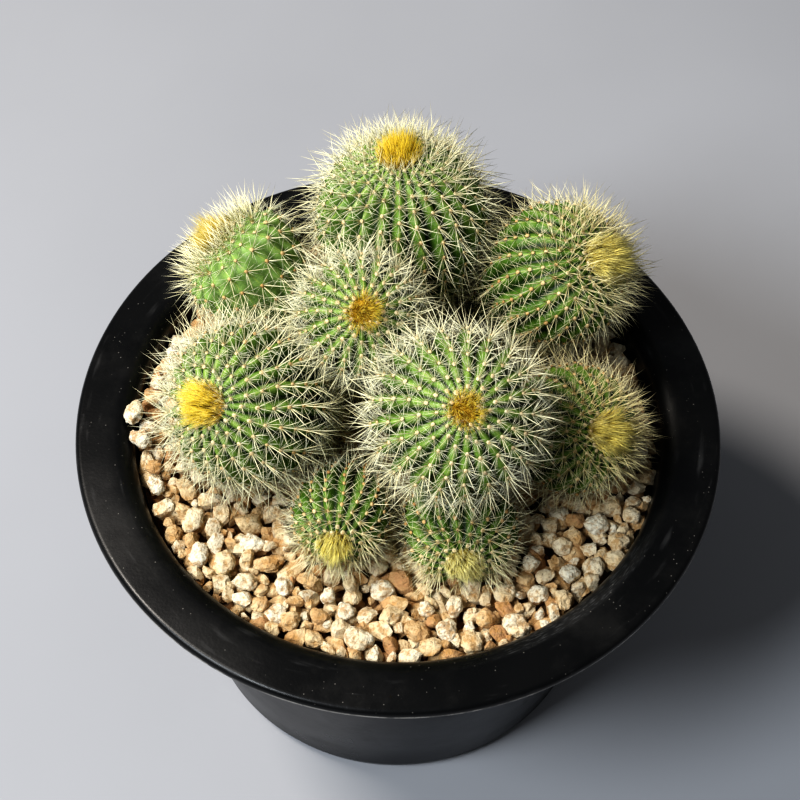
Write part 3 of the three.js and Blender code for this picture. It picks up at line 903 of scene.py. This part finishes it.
def areole_growth(head, run, rng):
    """How the growth of an areole changes from the crown down a rib."""
    count = len(run)
    young = 1 - smooth_step(run / 15.0)
    old = smooth_step((run - 18) / 26.0)
    golden = 0.4 * head["rust"] * (1 - smooth_step((run - head["tuft"]) / 5))
    return {
        "fan_turn": math.pi + rng.normal(0, 0.25, count),
        "erect": (0.5 - 0.3 * head["rust"]) * young + rng.normal(0, 0.06, count),
        "vigour": head["spines"] * (1 - 0.1 * old),
        "felt_size": (0.92 + 0.08 * young - 0.2 * old) * rng.uniform(0.85, 1.15, count),
        "age": np.clip(0.45 * run / head["felt"] + golden + rng.normal(0, 0.06, count), 0, 1),
        "straw": np.clip(head["straw"] + golden + 0.25 * old + rng.normal(0, 0.08, count), 0, 1),
    }


def spine_growths(head, run, growth):
    """Each kind of spine on a head: its areoles, what is different about its growth, and its number."""
    grown = smooth_step((run - 2) / (0.9 * head["radius"]))
    golden = 0.9 * head["rust"] * (1 - smooth_step((run - 3) / 8)) + 1.2 * head["straw"]
    everywhere = np.full(len(run), True)
    near_crown = (run > head["tuft"] + 1.2) & (run < 0.8 * head["radius"])
    collar = {
        "vigour": np.full(len(run), head["collar"]), "erect": np.zeros(len(run)),
        "straw": np.minimum(golden, 1),
    }
    return {
        "radial": (everywhere, {"vigour": growth["vigour"] * (0.52 + 0.48 * grown)}, head["radials"]),
        "central": (everywhere, {"vigour": growth["vigour"] * (0.42 + 0.58 * grown)}, head["centrals"]),
        "young": (near_crown, collar, round(3 + 4 * head["collar"])),
    }


def tuft_points(head, rng):
    """Points over the crown, with the growth of its dense tuft of bristles that lean together in wisps."""
    axis = crown_axis(head)
    side = unit(np.array([1.0, 0, 0]) - axis * axis[0])
    across = np.cross(axis, side)
    count = round(BRISTLES_PER_MM2 * math.pi * head["tuft"] ** 2)
    share = np.sqrt(rng.uniform(0, 1, count)) * rng.uniform(0.88, 1.06, count)
    angle = rng.uniform(0, FULL_TURN, count)
    flat = np.stack([np.cos(angle), np.sin(angle)], axis=1) * share[:, None]
    out = side * np.cos(angle)[:, None] + across * np.sin(angle)[:, None]
    reach = share * head["tuft"] / head["radius"]
    lift = head["radius"] * (head["dome"] * np.sqrt(1 - reach**2) - crown_dip(reach)) - 0.4
    base = np.array(head["centre"], float) + axis * lift[:, None] + out * (share * head["tuft"])[:, None]
    wisps = flat[::POINTS_PER_WISP]
    wisp = np.argmin(np.linalg.norm(flat[:, None] - wisps[None], axis=2), axis=1)
    wisp_lean = 0.14 * rng.standard_normal((len(wisps), 3))
    wisp_length = rng.uniform(0.7, 1.1, len(wisps))
    gather = (wisps[wisp] - flat) * 0.35
    lean, heading, spread = head["comb"]
    facing = aim(lean, heading) + out * (0.05 + spread * share**2)[:, None] + wisp_lean[wisp]
    facing += side * gather[:, :1] + across * gather[:, 1:] + 0.04 * rng.standard_normal((count, 3))
    facing = unit_rows(facing)
    edge = np.clip(2.4 * (share - 0.7) + 0.15 * rng.standard_normal(count), 0, 1)
    growth = {
        "fan_turn": np.zeros(count),
        "erect": np.zeros(count),
        "vigour": (1 - (0.9 - spread) * np.minimum(share, 1) ** 1.5) * wisp_length[wisp],
        "gold": np.full(count, head["gold"]),
        "rust": edge * head["rust"],
        # Painted light: a negative shade pales the whole tuft of a head that stands in shade, along with its
        # faded edge.
        "fade": np.clip(edge * (1 - head["rust"]) * 0.55 + max(-head["shade"], 0), 0, 1),
        "shade": np.full(count, max(head["shade"], 0)),
    }
    found = {"place": base, "normal": facing, "crownward": unit_rows(np.cross(facing, across))}
    return growth_points(found, growth)


class CACTUS_OT_heads(bpy.types.Operator):
    """Make the nine ribbed heads, and let each stand for its plain solid"""

    bl_idname = "cactus.heads"
    bl_label = "Ribbed Heads"

    def execute(self, context):
        settings = context.scene.cactus_plant
        tree = ribbed_tree()
        values = {
            "Chin height": settings.tubercle * MM, "Keel roundness": KEEL_ROUNDNESS,
            "Material": skin_finish(settings),
        }
        for name, head in HEADS.items():
            grow_piece(f"{name}_skin", "cactus_skin", tree, head_surface(head, settings), values, [name])
        return {"FINISHED"}


class CACTUS_OT_spines(bpy.types.Operator):
    """Set radial, central and young spines on the areoles of every head"""

    bl_idname = "cactus.spines"
    bl_label = "Spines"

    def execute(self, context):
        settings = context.scene.cactus_plant
        tree = spine_tree()
        horns = {kind: spine_finish(kind) for kind in SPINE_COLOURS}
        for number, (name, head) in enumerate(HEADS.items()):
            found = areoles_of(head, settings)
            growth = areole_growth(head, found["run"], np.random.default_rng(100 + number))
            kinds = spine_growths(head, found["run"], growth)
            for turn, (kind, (kept, changes, count)) in enumerate(kinds.items()):
                longest = getattr(settings, f"{kind}_length") * MM
                values = fan_values(kind, count, longest, 3 + number + 54 * turn, horns[kind])
                places = {label: spots[kept] for label, spots in found.items()}
                changed = {label: numbers[kept] for label, numbers in {**growth, **changes}.items()}
                points = growth_points(places, changed)
                grow_piece(f"{name}_{kind}_spines", "spines", tree, points, values)
        return {"FINISHED"}


class CACTUS_OT_felt(bpy.types.Operator):
    """Set a cushion of felt on every areole"""

    bl_idname = "cactus.felt"
    bl_label = "Areole Felt"

    def execute(self, context):
        settings = context.scene.cactus_plant
        tree = felt_tree()
        values = {"Size": settings.felt_size * MM, "Material": felt_finish()}
        for number, (name, head) in enumerate(HEADS.items()):
            found = areoles_of(head, settings)
            found["place"] = found["place"] + found["normal"] * settings.tubercle * 0.9
            growth = areole_growth(head, found["run"], np.random.default_rng(300 + number))
            grow_piece(f"{name}_felt", "areole_felt", tree, growth_points(found, growth), values)
        return {"FINISHED"}


class CACTUS_OT_tufts(bpy.types.Operator):
    """Set a dense tuft of young golden bristles on every crown"""

    bl_idname = "cactus.tufts"
    bl_label = "Crown Tufts"

    def execute(self, context):
        tree = spine_tree()
        bristle = bristle_finish()
        for number, (name, head) in enumerate(HEADS.items()):
            points = tuft_points(head, np.random.default_rng(500 + number))
            values = fan_values("tuft", 1, head["tuft_length"] * MM, 211 + number, bristle)
            grow_piece(f"{name}_crown_tuft", "crown_bristles", tree, points, values)
        return {"FINISHED"}


# Pot


def arc(x, z, width, height, start, end, steps):
    """Points on a quarter or less of an ellipse about a centre, for a profile."""
    angles = (start + (end - start) * i / steps for i in range(steps + 1))
    return [(x + width * math.cos(a), z + height * math.sin(a)) for a in angles]


def pot_profile():
    """The pot's section from the middle of its underside, up its outside and down its inside."""
    inside_shoulder = SHOULDER_RADIUS - WALL_THICKNESS
    slope = (SHOULDER_RADIUS - WALL_FOOT_RADIUS) / (SHOULDER_HEIGHT - FOOT_BAND_HEIGHT)
    inside_floor = WALL_FOOT_RADIUS + slope * (FLOOR_HEIGHT - FOOT_BAND_HEIGHT) - WALL_THICKNESS
    under = POT_HEIGHT - FLANGE_THICKNESS
    lip = 1.5
    right = QUARTER_TURN
    path = [(0.0, FOOT_RECESS), (FOOT_RADIUS - FOOT_RING_WIDTH, FOOT_RECESS)]
    path += [(FOOT_RADIUS - FOOT_RING_WIDTH, 0.0), (FOOT_RADIUS - 0.8, 0.0)]
    path += arc(FOOT_RADIUS - 0.8, 0.8, 0.8, 0.8, -right, 0, 4)
    path += arc(WALL_FOOT_RADIUS - 1.0, FOOT_BAND_HEIGHT, 1.0, 1.0, -right * 0.6, 0.15, 4)
    path += [(WALL_FOOT_RADIUS + slope * rise, FOOT_BAND_HEIGHT + rise) for rise in (15, 35, 55, 72)]
    path += arc(SHOULDER_RADIUS + 2.0, SHOULDER_HEIGHT - 0.1, 2.0, 2.0, 2 * right, right, 5)
    path += [(RIM_RADIUS - 2.0, under), (RIM_RADIUS - 1.0, POT_HEIGHT - LIP_HEIGHT)]
    path += arc(RIM_RADIUS - 0.5, POT_HEIGHT - LIP_HEIGHT + 0.5, 0.5, 0.5, -right, 0, 3)
    path += arc(RIM_RADIUS - lip, POT_HEIGHT - lip, lip, lip, 0, right, 6)
    path += [(BROW_RADIUS + out, POT_HEIGHT + BROW_RISE * rise) for out, rise in ((5.0, 0.45), (2.0, 0.85))]
    brow = POT_HEIGHT + BROW_RISE - BROW_DROP
    path += arc(BROW_RADIUS, brow, BROW_RADIUS - MOUTH_RADIUS, BROW_DROP, right, 2 * right, 10)
    path += [(inside_shoulder - slope * fall, SHOULDER_HEIGHT - fall) for fall in (1, 8, 40)]
    path += [(inside_floor, FLOOR_HEIGHT + 1.5), (inside_floor - 1.2, FLOOR_HEIGHT), (0.0, FLOOR_HEIGHT)]
    return path


def circle(radius, sides):
    angles = [2 * math.pi * k / sides for k in range(sides)]
    return [(radius * math.cos(angle), radius * math.sin(angle)) for angle in angles]


def lathe(name, profile, sides):
    """A closed turned mesh about the pot's axis from a profile that starts and ends on it."""
    vertices = [(0, 0, profile[0][1] * MM)]
    vertices += [(x, y, z * MM) for r, z in profile[1:-1] for x, y in circle(r * MM, sides)]
    vertices.append((0, 0, profile[-1][1] * MM))
    return new_mesh(name, vertices, ring_faces(len(profile) - 2, sides, inside_out=True))


def drain_cutter():
    """Five short rods where the drain holes go: one in the middle and four round it."""
    sides = 24
    holes = [(0.0, 0.0)]
    for i in range(4):
        angle = (i + 0.5) * QUARTER_TURN
        holes.append((DRAIN_CIRCLE * math.cos(angle), DRAIN_CIRCLE * math.sin(angle)))
    vertices, faces = [], []
    for x, y in holes:
        start = len(vertices)
        for z in (-1.0, FLOOR_HEIGHT + 1.0):
            vertices += [((x + a) * MM, (y + b) * MM, z * MM) for a, b in circle(DRAIN_RADIUS, sides)]
        low = [start + k for k in range(sides)]
        high = [k + sides for k in low]
        faces += [low[::-1], high]
        faces += [[low[k - 1], low[k], high[k], high[k - 1]] for k in (*range(1, sides), 0)]
    return new_object("drain_cutter", new_mesh("drain_cutter", vertices, faces))


def brow_lines(maker, angle, radius, height):
    """Fine pale grey lines that run round the brow at the front right."""
    on_brow = maker.remap(height, 90.6 * MM, 91.6 * MM) * maker.remap(radius, 70.6 * MM, 69.4 * MM)
    started = maker.remap(angle, math.radians(-78), math.radians(-60))
    ended = maker.remap(angle, math.radians(-22), math.radians(-38))
    lines = maker.noise(maker.combine(angle * 34.0, radius * 3600.0, height * 1500.0), 1.0, 3.0)
    return started * ended * on_brow * maker.remap(lines, 0.48, 0.75, 0.04, 0.3)


def pot_finish(settings):
    """Black moulded plastic: an even satin, turning marks and smudges, a patchy pale line on the lip edge as
    painted highlight, and some dust.
    """
    maker = finish("Black plastic", settings.plastic)
    spot = maker.spot()
    x = maker.add("ShaderNodeSeparateXYZ", {0: spot})
    y, height = x["Y"], x["Z"]
    radius = maker.math("SQRT", x * x + y * y)
    angle = maker.math("ARCTAN2", y, x)
    dust = maker.group(dust_group, "Dust", Vector=spot, Amount=settings.dust)
    normal = maker.add("ShaderNodeNewGeometry")["Normal"]
    facing_up = maker.remap(maker.add("ShaderNodeSeparateXYZ", {0: normal})["Z"], 0.35, 0.95)
    settled = dust["Film"] * facing_up
    # Smudges follow the turn of the brim: long along it, and short across it.
    smudge = maker.noise(maker.combine(angle * 5.0, radius * 420.0, height), 1.0, 4.0)
    # A patchy pale line along the lower edge of the lip: a painted highlight.
    edge = maker.remap(height, 90.6 * MM, 90.1 * MM) * maker.remap(radius, 79.2 * MM, 79.6 * MM)
    lip_highlight = edge * maker.remap(maker.noise(spot, 160.0, 6.0, 0.7), 0.38, 0.6, 0.15, 0.8)
    plastic = maker.paint(
        settings.plastic, (settled * 0.08, (0.35, 0.33, 0.3)),
        (dust["Specks"] * facing_up, (0.5, 0.47, 0.42)),
        (maker.remap(smudge, 0.6, 0.8, 0.0, 0.1), (0.22, 0.22, 0.22)),
        (brow_lines(maker, angle, radius, height), (0.2, 0.2, 0.2)), (lip_highlight, (0.42, 0.4, 0.36)),
    )
    cloud = maker.noise(spot, 30.0, 6.0)
    clean = maker.remap(cloud, 0.3, 0.7, settings.roughness - 0.04, settings.roughness + 0.06)
    rough = clean + settled * 0.3 + maker.remap(smudge, 0.55, 0.8, 0.0, 0.12)
    grain = maker.noise(spot, 1400.0) + maker.noise(spot, 55.0) * 6.0
    return maker.coat(plastic, rough, grain, 0.04 * MM, 0.5, specular=0.3)


class CACTUS_OT_pot(bpy.types.Operator):
    """Turn the pot, with rounded lips and drain holes"""

    bl_idname = "cactus.pot"
    bl_label = "Pot"

    def execute(self, context):
        pot = new_object("pot_shell", lathe("pot_shell", pot_profile(), 192))
        cutter = drain_cutter()
        cut = pot.modifiers.new("Drain holes", "BOOLEAN")
        cut.operation = "DIFFERENCE"
        cut.solver = "EXACT"
        cut.object = cutter
        shaped = evaluated_mesh(pot)
        pot.modifiers.clear()
        pot.data = shaped
        bpy.data.objects.remove(cutter)
        shaped.materials.clear()
        shaped.materials.append(pot_finish(context.scene.cactus_pot))
        shaped.shade_smooth()
        shaped.set_sharp_from_angle(angle=math.radians(38))
        place(pot, "pot", ["pot"])
        return {"FINISHED"}


# Gravel and soil


def gravel_height(x, y):
    """Level of the gravel's top at a place: higher at the back, with a heap against the left brim."""
    ripple = 0.35 * np.sin(x * 0.31 + 1.3) * np.cos(y * 0.27) + 0.2 * np.sin(x * 0.13 - y * 0.19)
    across = (x - HEAP_CENTRE[0]) / HEAP_SPREAD[0]
    forward = (y - HEAP_CENTRE[1]) / HEAP_SPREAD[1]
    heap = HEAP_RISE * np.exp(-(across**2 + forward**2) / 2)
    return GRAVEL_TOP - y * GRAVEL_FRONT_SLOPE - x * GRAVEL_LEFT_SLOPE + ripple + heap


def wall_reach(height):
    """Radius of the pot's mouth at a height: straight, and then out over the rounded brow."""
    rise = min(max(height - (POT_HEIGHT + BROW_RISE - BROW_DROP), 0), BROW_DROP) / BROW_DROP
    return BROW_RADIUS - (BROW_RADIUS - MOUTH_RADIUS) * math.sqrt(1 - rise**2)


def head_section(head, height):
    """Where a head passes a height near its foot, and how wide it is there."""
    rings = head_rings(head, 1.0)
    index = int(np.argmin(np.abs(rings["place"][:, 2] - height) + (rings["run"] < head["radius"]) * 50))
    return rings["place"][index][:2], rings["radius"][index]


def pebble_reach(node):
    """Place and half length of a larger stone, seen from above."""
    low, high = (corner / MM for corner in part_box(node))
    middle = (low + high) / 2
    return middle.x, middle.y, max(high.x - low.x, high.y - low.y) / 2


def scatter_grains(settings):
    """Places for the loose grains, in three layers: big ones first, and then smaller ones that still fit."""
    rng = random.Random(settings.seed)
    feet = [head_section(head, GRAVEL_TOP) for head in HEADS.values()]
    outermost = 69.0
    layers = []
    for sink, tries, squeeze, *_ in GRAIN_LAYERS:
        kept = [] if layers else [pebble_reach(node) for node in PEBBLE_NODES]
        grains = []
        for attempt in range(tries):
            share = (attempt / tries) ** 0.7
            size = settings.largest + (settings.smallest - settings.largest) * share
            size *= rng.uniform(0.85, 1.12)
            half = size / 2
            angle = rng.uniform(0, FULL_TURN)
            distance = outermost * math.sqrt(rng.random())
            x, y = distance * math.cos(angle), distance * math.sin(angle)
            top = float(gravel_height(x, y)) - sink + rng.uniform(-0.35, 0.55) + half * 0.25
            if distance > wall_reach(top - half * 0.4) - 0.5 - half * 0.55:
                continue
            if any(math.hypot(x - c[0], y - c[1]) < r + half * 0.55 for c, r in feet):
                continue
            if any(math.hypot(x - a, y - b) < (half + r) * squeeze for a, b, r in kept):
                continue
            kept.append((x, y, half))
            grains.append((x, y, top, half))
        layers.append(grains)
    return layers


def broken(maker, shape, key, deepest, shallowest):
    """Clips a ball of unit radius by flat breaks of random heading and reach, one stone unlike the next."""
    stone = key * 9973.0
    for seed in range(STONE_BREAKS):
        heading = maker.random((-1.0, -1.0, -1.0), (1.0, 1.0, 1.0), seed, stone, "FLOAT_VECTOR")
        plane = maker.vector("NORMALIZE", heading)
        reach = maker.random(deepest, shallowest, seed + 40, stone)
        over = maker.math("MAXIMUM", maker.vector("DOT_PRODUCT", shape, plane) - reach, 0.0)
        shape = shape - plane * over
    return shape


def stone_tree():
    """Shapes one rough stone on every point: a ball clipped by flat breaks and roughened by noise."""
    maker, inputs = geometry_tree(
        "Rough stones", {"Fineness": 2, "Deepest break": 0.5, "Shallowest break": 0.8, "Wear": 0.3},
    )
    ball = maker.add("GeometryNodeMeshIcoSphere", {"Radius": 1.0, "Subdivisions": inputs["Fineness"]})
    marked = maker.keep(ball, "stone_spot", maker.add("GeometryNodeInputPosition"), "FLOAT_VECTOR")
    planted = maker.plant(inputs["Geometry"], marked)
    real = maker.add("GeometryNodeRealizeInstances", {"Geometry": planted})
    spot, half, turn, middle = (
        maker.attribute(f"stone_{label}", "FLOAT_VECTOR") for label in ("spot", "half", "turn", "place")
    )
    key = maker.attribute("stone_key")
    shape = broken(maker, spot, key, inputs["Deepest break"], inputs["Shallowest break"])
    wear = maker.noise(spot + maker.combine(key * 71.0, key * 37.0, key), 2.0, 4.0)
    sized = shape * (1.0 + (wear - 0.5) * inputs["Wear"]) * half
    rotation = maker.add("FunctionNodeEulerToRotation", {"Euler": turn})
    turned = maker.add("FunctionNodeRotateVector", {"Vector": sized, "Rotation": rotation})
    made = maker.move(real, Position=turned + middle)
    helpers = ("stone_spot", "stone_place", "stone_half", "stone_turn", "stone_key")
    return maker.end_piece(made, inputs["Material"], helpers, fold=24)


def stone_points(rows):
    """Points for the stone tree: place, half sizes, turn, key and tone of each stone."""
    values = {f"stone_{label}": np.array([row[label] for row in rows]) for label in rows[0]}
    for label in ("stone_place", "stone_half"):
        values[label] = values[label] * MM
    return new_mesh("points", values["stone_place"], values=values)


def stone_finish(settings):
    """Weathered granite grit: cream faces, rusty hollows that are partly painted shade, a few open pits, each
    stone with its own tone.
    """
    maker = finish("Gravel stone", settings.light_stone)
    spot = maker.spot()
    grain = maker.group(
        grain_group, "Grain and pits", Vector=spot, Grain_size=1300.0, Pit_size=900.0, Pit_share=0.3,
    )
    relief = maker.noise(spot, 400.0, 6.0, 0.66)
    patches = maker.noise(spot, 210.0, 3.0)
    shifted = maker.math("ADD", maker.surface("stone_tone"), patches - 0.5, clamp=True)
    run = maker.ramp(shifted, [
        (0.0, settings.dark_stone), (0.22, (0.62, 0.4, 0.19)), (0.45, (0.8, 0.63, 0.38)),
        (0.72, settings.light_stone), (1.0, (0.89, 0.84, 0.68)),
    ])
    pits = grain["Pits"] * maker.remap(patches, 0.58, 0.68)
    stone = maker.paint(
        # Brown in the low places of the relief: partly rust, partly painted shade in the hollows.
        run, (maker.remap(relief, 0.52, 0.38, 0.0, 0.75), (0.48, 0.26, 0.08)),
        (maker.remap(grain["Grain"], 0.5, 0.66, 0.0, 0.5), (0.5, 0.34, 0.17)),
        (pits * 0.75, (0.12, 0.09, 0.06)),
    )
    rough = maker.remap(grain["Grain"], 0.3, 0.7, 0.7, 0.95)
    return maker.coat(stone, rough, relief + grain["Grain"] * 0.35, 1.8 * MM)


def crumb_finish(name, light, dark):
    """Dark crumbs between and under the stones, their darkness there painted shade in the gaps."""
    maker = finish(name, dark)
    grain = maker.group(
        grain_group, "Grain and pits",
        Vector=maker.spot(), Grain_size=260.0, Pit_size=420.0, Pit_share=0.45,
    )
    crumbs = maker.paint(
        dark, (maker.remap(grain["Grain"], 0.35, 0.7), light), (grain["Pits"] * 0.7, (0.012, 0.008, 0.005)),
    )
    return maker.coat(crumbs, maker.remap(grain["Grain"], 0.3, 0.7, 0.82, 1.0), grain["Height"], 0.8 * MM)


def tone_of_grain(rng):
    """A grain's tone: mostly cream and beige, with some tan, a little brown and some white."""
    pick = rng.random()
    for share, low, high in ((0.08, 0.05, 0.2), (0.3, 0.3, 0.5), (0.85, 0.55, 0.8), (1.0, 0.85, 1.0)):
        if pick < share:
            return rng.uniform(low, high)


class CACTUS_OT_gravel(bpy.types.Operator):
    """Scatter loose grains in layers over the crumbly bed"""

    bl_idname = "cactus.gravel"
    bl_label = "Gravel"

    def execute(self, context):
        settings = context.scene.cactus_gravel
        rng = random.Random(settings.seed + 1)
        tree = stone_tree()
        stone = stone_finish(settings)
        layers = zip(scatter_grains(settings), GRAIN_LAYERS)
        for layer, (grains, (*_, fineness, painted_light_share)) in enumerate(layers, 1):
            rows = []
            for x, y, top, half in grains:
                height = half * rng.uniform(0.7, 1.0)
                rows.append({
                    "place": (x, y, top - height * 0.4),
                    "half": (half * rng.uniform(1.1, 1.4), half * rng.uniform(0.85, 1.1), height),
                    "turn": (rng.uniform(-0.6, 0.6), rng.uniform(-0.6, 0.6), rng.uniform(0, FULL_TURN)),
                    "key": rng.random(),
                    # Lower layers get duller, browner tones: painted shade under the grains above.
                    "tone": tone_of_grain(rng) * painted_light_share,
                })
            values = {"Fineness": fineness, "Wear": 0.75, "Material": stone}
            grow_piece(f"gravel_grains_{layer}", "gravel", tree, stone_points(rows), values, ["gravel_bed"])
        place(self.bed(), "gravel", ["gravel_bed"])
        return {"FINISHED"}

    def bed(self):
        """The crumbs under the grains: a disc with a lumpy top, set below the stones, dark as painted shade
        in the gaps.
        """
        reach = MOUTH_RADIUS - 0.9
        rings = 60
        underside = GRAVEL_TOP - CRUMBS_DEPTH - 3.0
        profile = [(0.0, underside), (reach - 1.0, underside)]
        profile += [(reach * (1 - i / rings), GRAVEL_TOP) for i in range(rings + 1)]
        mesh = lathe("gravel_crumbs", profile, 180)
        points = np.zeros(len(mesh.vertices) * 3)
        mesh.vertices.foreach_get("co", points)
        points = points.reshape(-1, 3) / MM
        x, y, z = points.T
        lumps = 0.5 * np.sin(x * 1.9 + np.sin(y * 1.3) * 2)
        lumps += 0.5 * np.sin(y * 2.3 + np.sin(x * 1.7) * 2)
        surface = gravel_height(x, y) - CRUMBS_DEPTH + 0.7 * lumps
        points[:, 2] = np.where(z > GRAVEL_TOP - CRUMBS_DEPTH, surface, z)
        mesh.vertices.foreach_set("co", (points * MM).ravel())
        mesh.update()
        mesh.shade_smooth()
        # The dark crumb colours stand for shade: painted shade where the bed shows between the grains.
        mesh.materials.append(crumb_finish("Crumbs", (0.3, 0.15, 0.05), (0.09, 0.045, 0.016)))
        return new_object("gravel_crumbs", mesh)


class CACTUS_OT_pebbles(bpy.types.Operator):
    """Wear each larger stone of the top dressing from its plain solid"""

    bl_idname = "cactus.pebbles"
    bl_label = "Larger Stones"

    def execute(self, context):
        settings = context.scene.cactus_gravel
        rng = random.Random(settings.seed + 2)
        tree = self.worn_tree()
        stone = bpy.data.materials.get("Gravel stone") or stone_finish(settings)
        for node in PEBBLE_NODES:
            tint = node.split("_")[1]
            low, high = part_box(node)
            values = {
                "Centre": (low + high) / 2,
                "Half": (high - low) / 2,
                "Tone": STONE_TONES[tint] + rng.uniform(-0.04, 0.04),
                "Key": rng.random(),
                "Material": stone,
            }
            # A node's points and faces alone, without its finish or other values
            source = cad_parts[node].data
            faces = [tuple(p.vertices) for p in source.polygons]
            plain = new_mesh("plain_stone", [v.co for v in source.vertices], faces)
            grow_piece(node.replace("pebble", "stone"), f"stone_{tint}", tree, plain, values, [node])
        return {"FINISHED"}

    def worn_tree(self):
        """Breaks a faceted stone along flat planes and roughens its skin."""
        maker, inputs = geometry_tree(
            "Worn stone", {"Centre": "Vector", "Half": "Vector", "Tone": 0.5, "Key": 0.0},
        )
        centre, half, key = inputs["Centre"], inputs["Half"], inputs["Key"]
        welded = maker.add(
            "GeometryNodeMergeByDistance", {"Geometry": inputs["Geometry"], "Distance": 0.02 * MM},
        )
        fine = maker.add("GeometryNodeSubdivideMesh", {"Mesh": welded, "Level": 3})
        spot = maker.add("GeometryNodeInputPosition")
        soft = maker.add(
            "GeometryNodeBlurAttribute", {"Value": spot, "Iterations": 3}, data_type="FLOAT_VECTOR",
        )
        cut = broken(maker, (spot - centre) / half, key, 0.72, 0.95)
        flat = maker.move(maker.move(fine, Position=soft), Position=cut * half + centre)
        lumps = maker.noise(spot + maker.combine(key * 50.0), 240.0, 6.0, 0.62)
        normal = maker.add("GeometryNodeInputNormal")["Normal"]
        rough = maker.move(flat, Offset=normal * ((lumps - 0.47) * 3.6 * MM))
        toned = maker.keep(rough, "stone_tone", inputs["Tone"])
        return maker.end_piece(toned, inputs["Material"], fold=45)


class CACTUS_OT_soil(bpy.types.Operator):
    """Give the potting mix its finish"""

    bl_idname = "cactus.soil"
    bl_label = "Potting Mix"

    def execute(self, context):
        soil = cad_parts["potting_soil"]
        soil.data.materials.clear()
        soil.data.materials.append(crumb_finish("Potting mix", (0.09, 0.06, 0.035), (0.02, 0.013, 0.008)))
        return {"FINISHED"}


# Stage


class CACTUS_OT_stage(bpy.types.Operator):
    """Set up the pale floor, the soft lights and the camera"""

    bl_idname = "cactus.stage"
    bl_label = "Stage"

    def execute(self, context):
        settings = context.scene.cactus_stage
        self.floor(settings)
        self.lights(context.scene, settings)
        self.camera(context.scene, settings)
        return {"FINISHED"}

    def floor(self, settings):
        reach = 3.0
        corners = [(-reach, -reach, 0), (reach, -reach, 0), (reach, reach, 0), (-reach, reach, 0)]
        mesh = new_mesh("floor", corners, [(0, 1, 2, 3)])
        maker = finish("Pale floor", settings.floor_colour)
        cloud = maker.noise(maker.spot(), 6.0, 4.0)
        paler = [c * 1.06 for c in settings.floor_colour]
        mottled = maker.mix(maker.remap(cloud, 0.3, 0.7), settings.floor_colour, paler)
        mesh.materials.append(maker.coat(mottled, maker.remap(cloud, 0.3, 0.7, 0.7, 0.8)))
        floor = new_object("floor", mesh)

    def lights(self, scene, settings):
        target = Vector((0, 0, 0.1))
        for name, spot, size, power, tint in (
            ("key_light", (-0.76, 0.16, 1.2), 0.35, settings.key_power, (1.0, 0.93, 0.85)),
            ("second_light", (-0.72, -0.54, 1.07), 0.5, settings.second_power, (0.9, 0.95, 1.0)),
        ):
            data = bpy.data.lights.new(name, "AREA")
            data.shape = "DISK"
            data.size = size
            data.energy = power
            data.color = tint
            light = new_object(name, data)
            light.location = spot
            light.rotation_euler = (target - light.location).to_track_quat("-Z", "Y").to_euler()
        world = bpy.data.worlds.new("Soft room")
        world.use_nodes = True
        background = world.node_tree.nodes["Background"].inputs
        background["Color"].default_value = (0.95, 0.97, 1.0, 1.0)
        background["Strength"].default_value = settings.room
        scene.world = world
        scene.view_settings.view_transform = "Standard"
        scene.view_settings.look = "High Contrast"

    def camera(self, scene, settings):
        target = Vector((0.0002, 0.00631, 0.092))
        rise = settings.elevation
        back = Vector((0, -math.cos(rise), math.sin(rise)))
        right = Vector((1, 0, 0))
        up = back.cross(right)
        turn = Matrix((right, up, back)).transposed() @ Matrix.Rotation(-settings.roll, 3, "Z")
        data = bpy.data.cameras.new("photo_camera")
        data.sensor_width = 36
        data.lens = 99
        data.clip_start = 0.01
        camera = new_object("photo_camera", data)
        camera.matrix_world = Matrix.Translation(target + back * settings.distance) @ turn.to_4x4()
        scene.camera = camera


class CACTUS_PT_panel(bpy.types.Panel):
    """The clump's pieces, in the order they are made"""

    bl_label = "Potted Cactus Clump"
    bl_idname = "CACTUS_PT_panel"
    bl_space_type = "VIEW_3D"
    bl_region_type = "UI"
    bl_category = "Cactus"

    def draw(self, context):
        for operator in OPERATORS:
            self.layout.operator(operator.bl_idname)
        for group in SETTINGS:
            settings = getattr(context.scene, group)
            for label in settings.__annotations__:
                self.layout.prop(settings, label)


OPERATORS = (
    CACTUS_OT_stage,
    CACTUS_OT_pot,
    CACTUS_OT_soil,
    CACTUS_OT_gravel,
    CACTUS_OT_pebbles,
    CACTUS_OT_heads,
    CACTUS_OT_spines,
    CACTUS_OT_felt,
    CACTUS_OT_tufts,
)
SETTINGS = {
    "cactus_plant": PlantSettings,
    "cactus_gravel": GravelSettings,
    "cactus_pot": PotSettings,
    "cactus_stage": StageSettings,
}
CLASSES = (*SETTINGS.values(), *OPERATORS, CACTUS_PT_panel)


def register():
    for kind in CLASSES:
        bpy.utils.register_class(kind)
    for name, group in SETTINGS.items():
        setattr(bpy.types.Scene, name, bpy.props.PointerProperty(type=group))


def unregister():
    for name in SETTINGS:
        delattr(bpy.types.Scene, name)
    for kind in reversed(CLASSES):
        bpy.utils.unregister_class(kind)


def main():
    register()
    bpy.ops.cactus.stage()
    bpy.ops.cactus.pot()
    bpy.ops.cactus.soil()
    bpy.ops.cactus.gravel()
    bpy.ops.cactus.pebbles()
    bpy.ops.cactus.heads()
    bpy.ops.cactus.spines()
    bpy.ops.cactus.felt()
    bpy.ops.cactus.tufts()


if __name__ == "__main__":
    main()
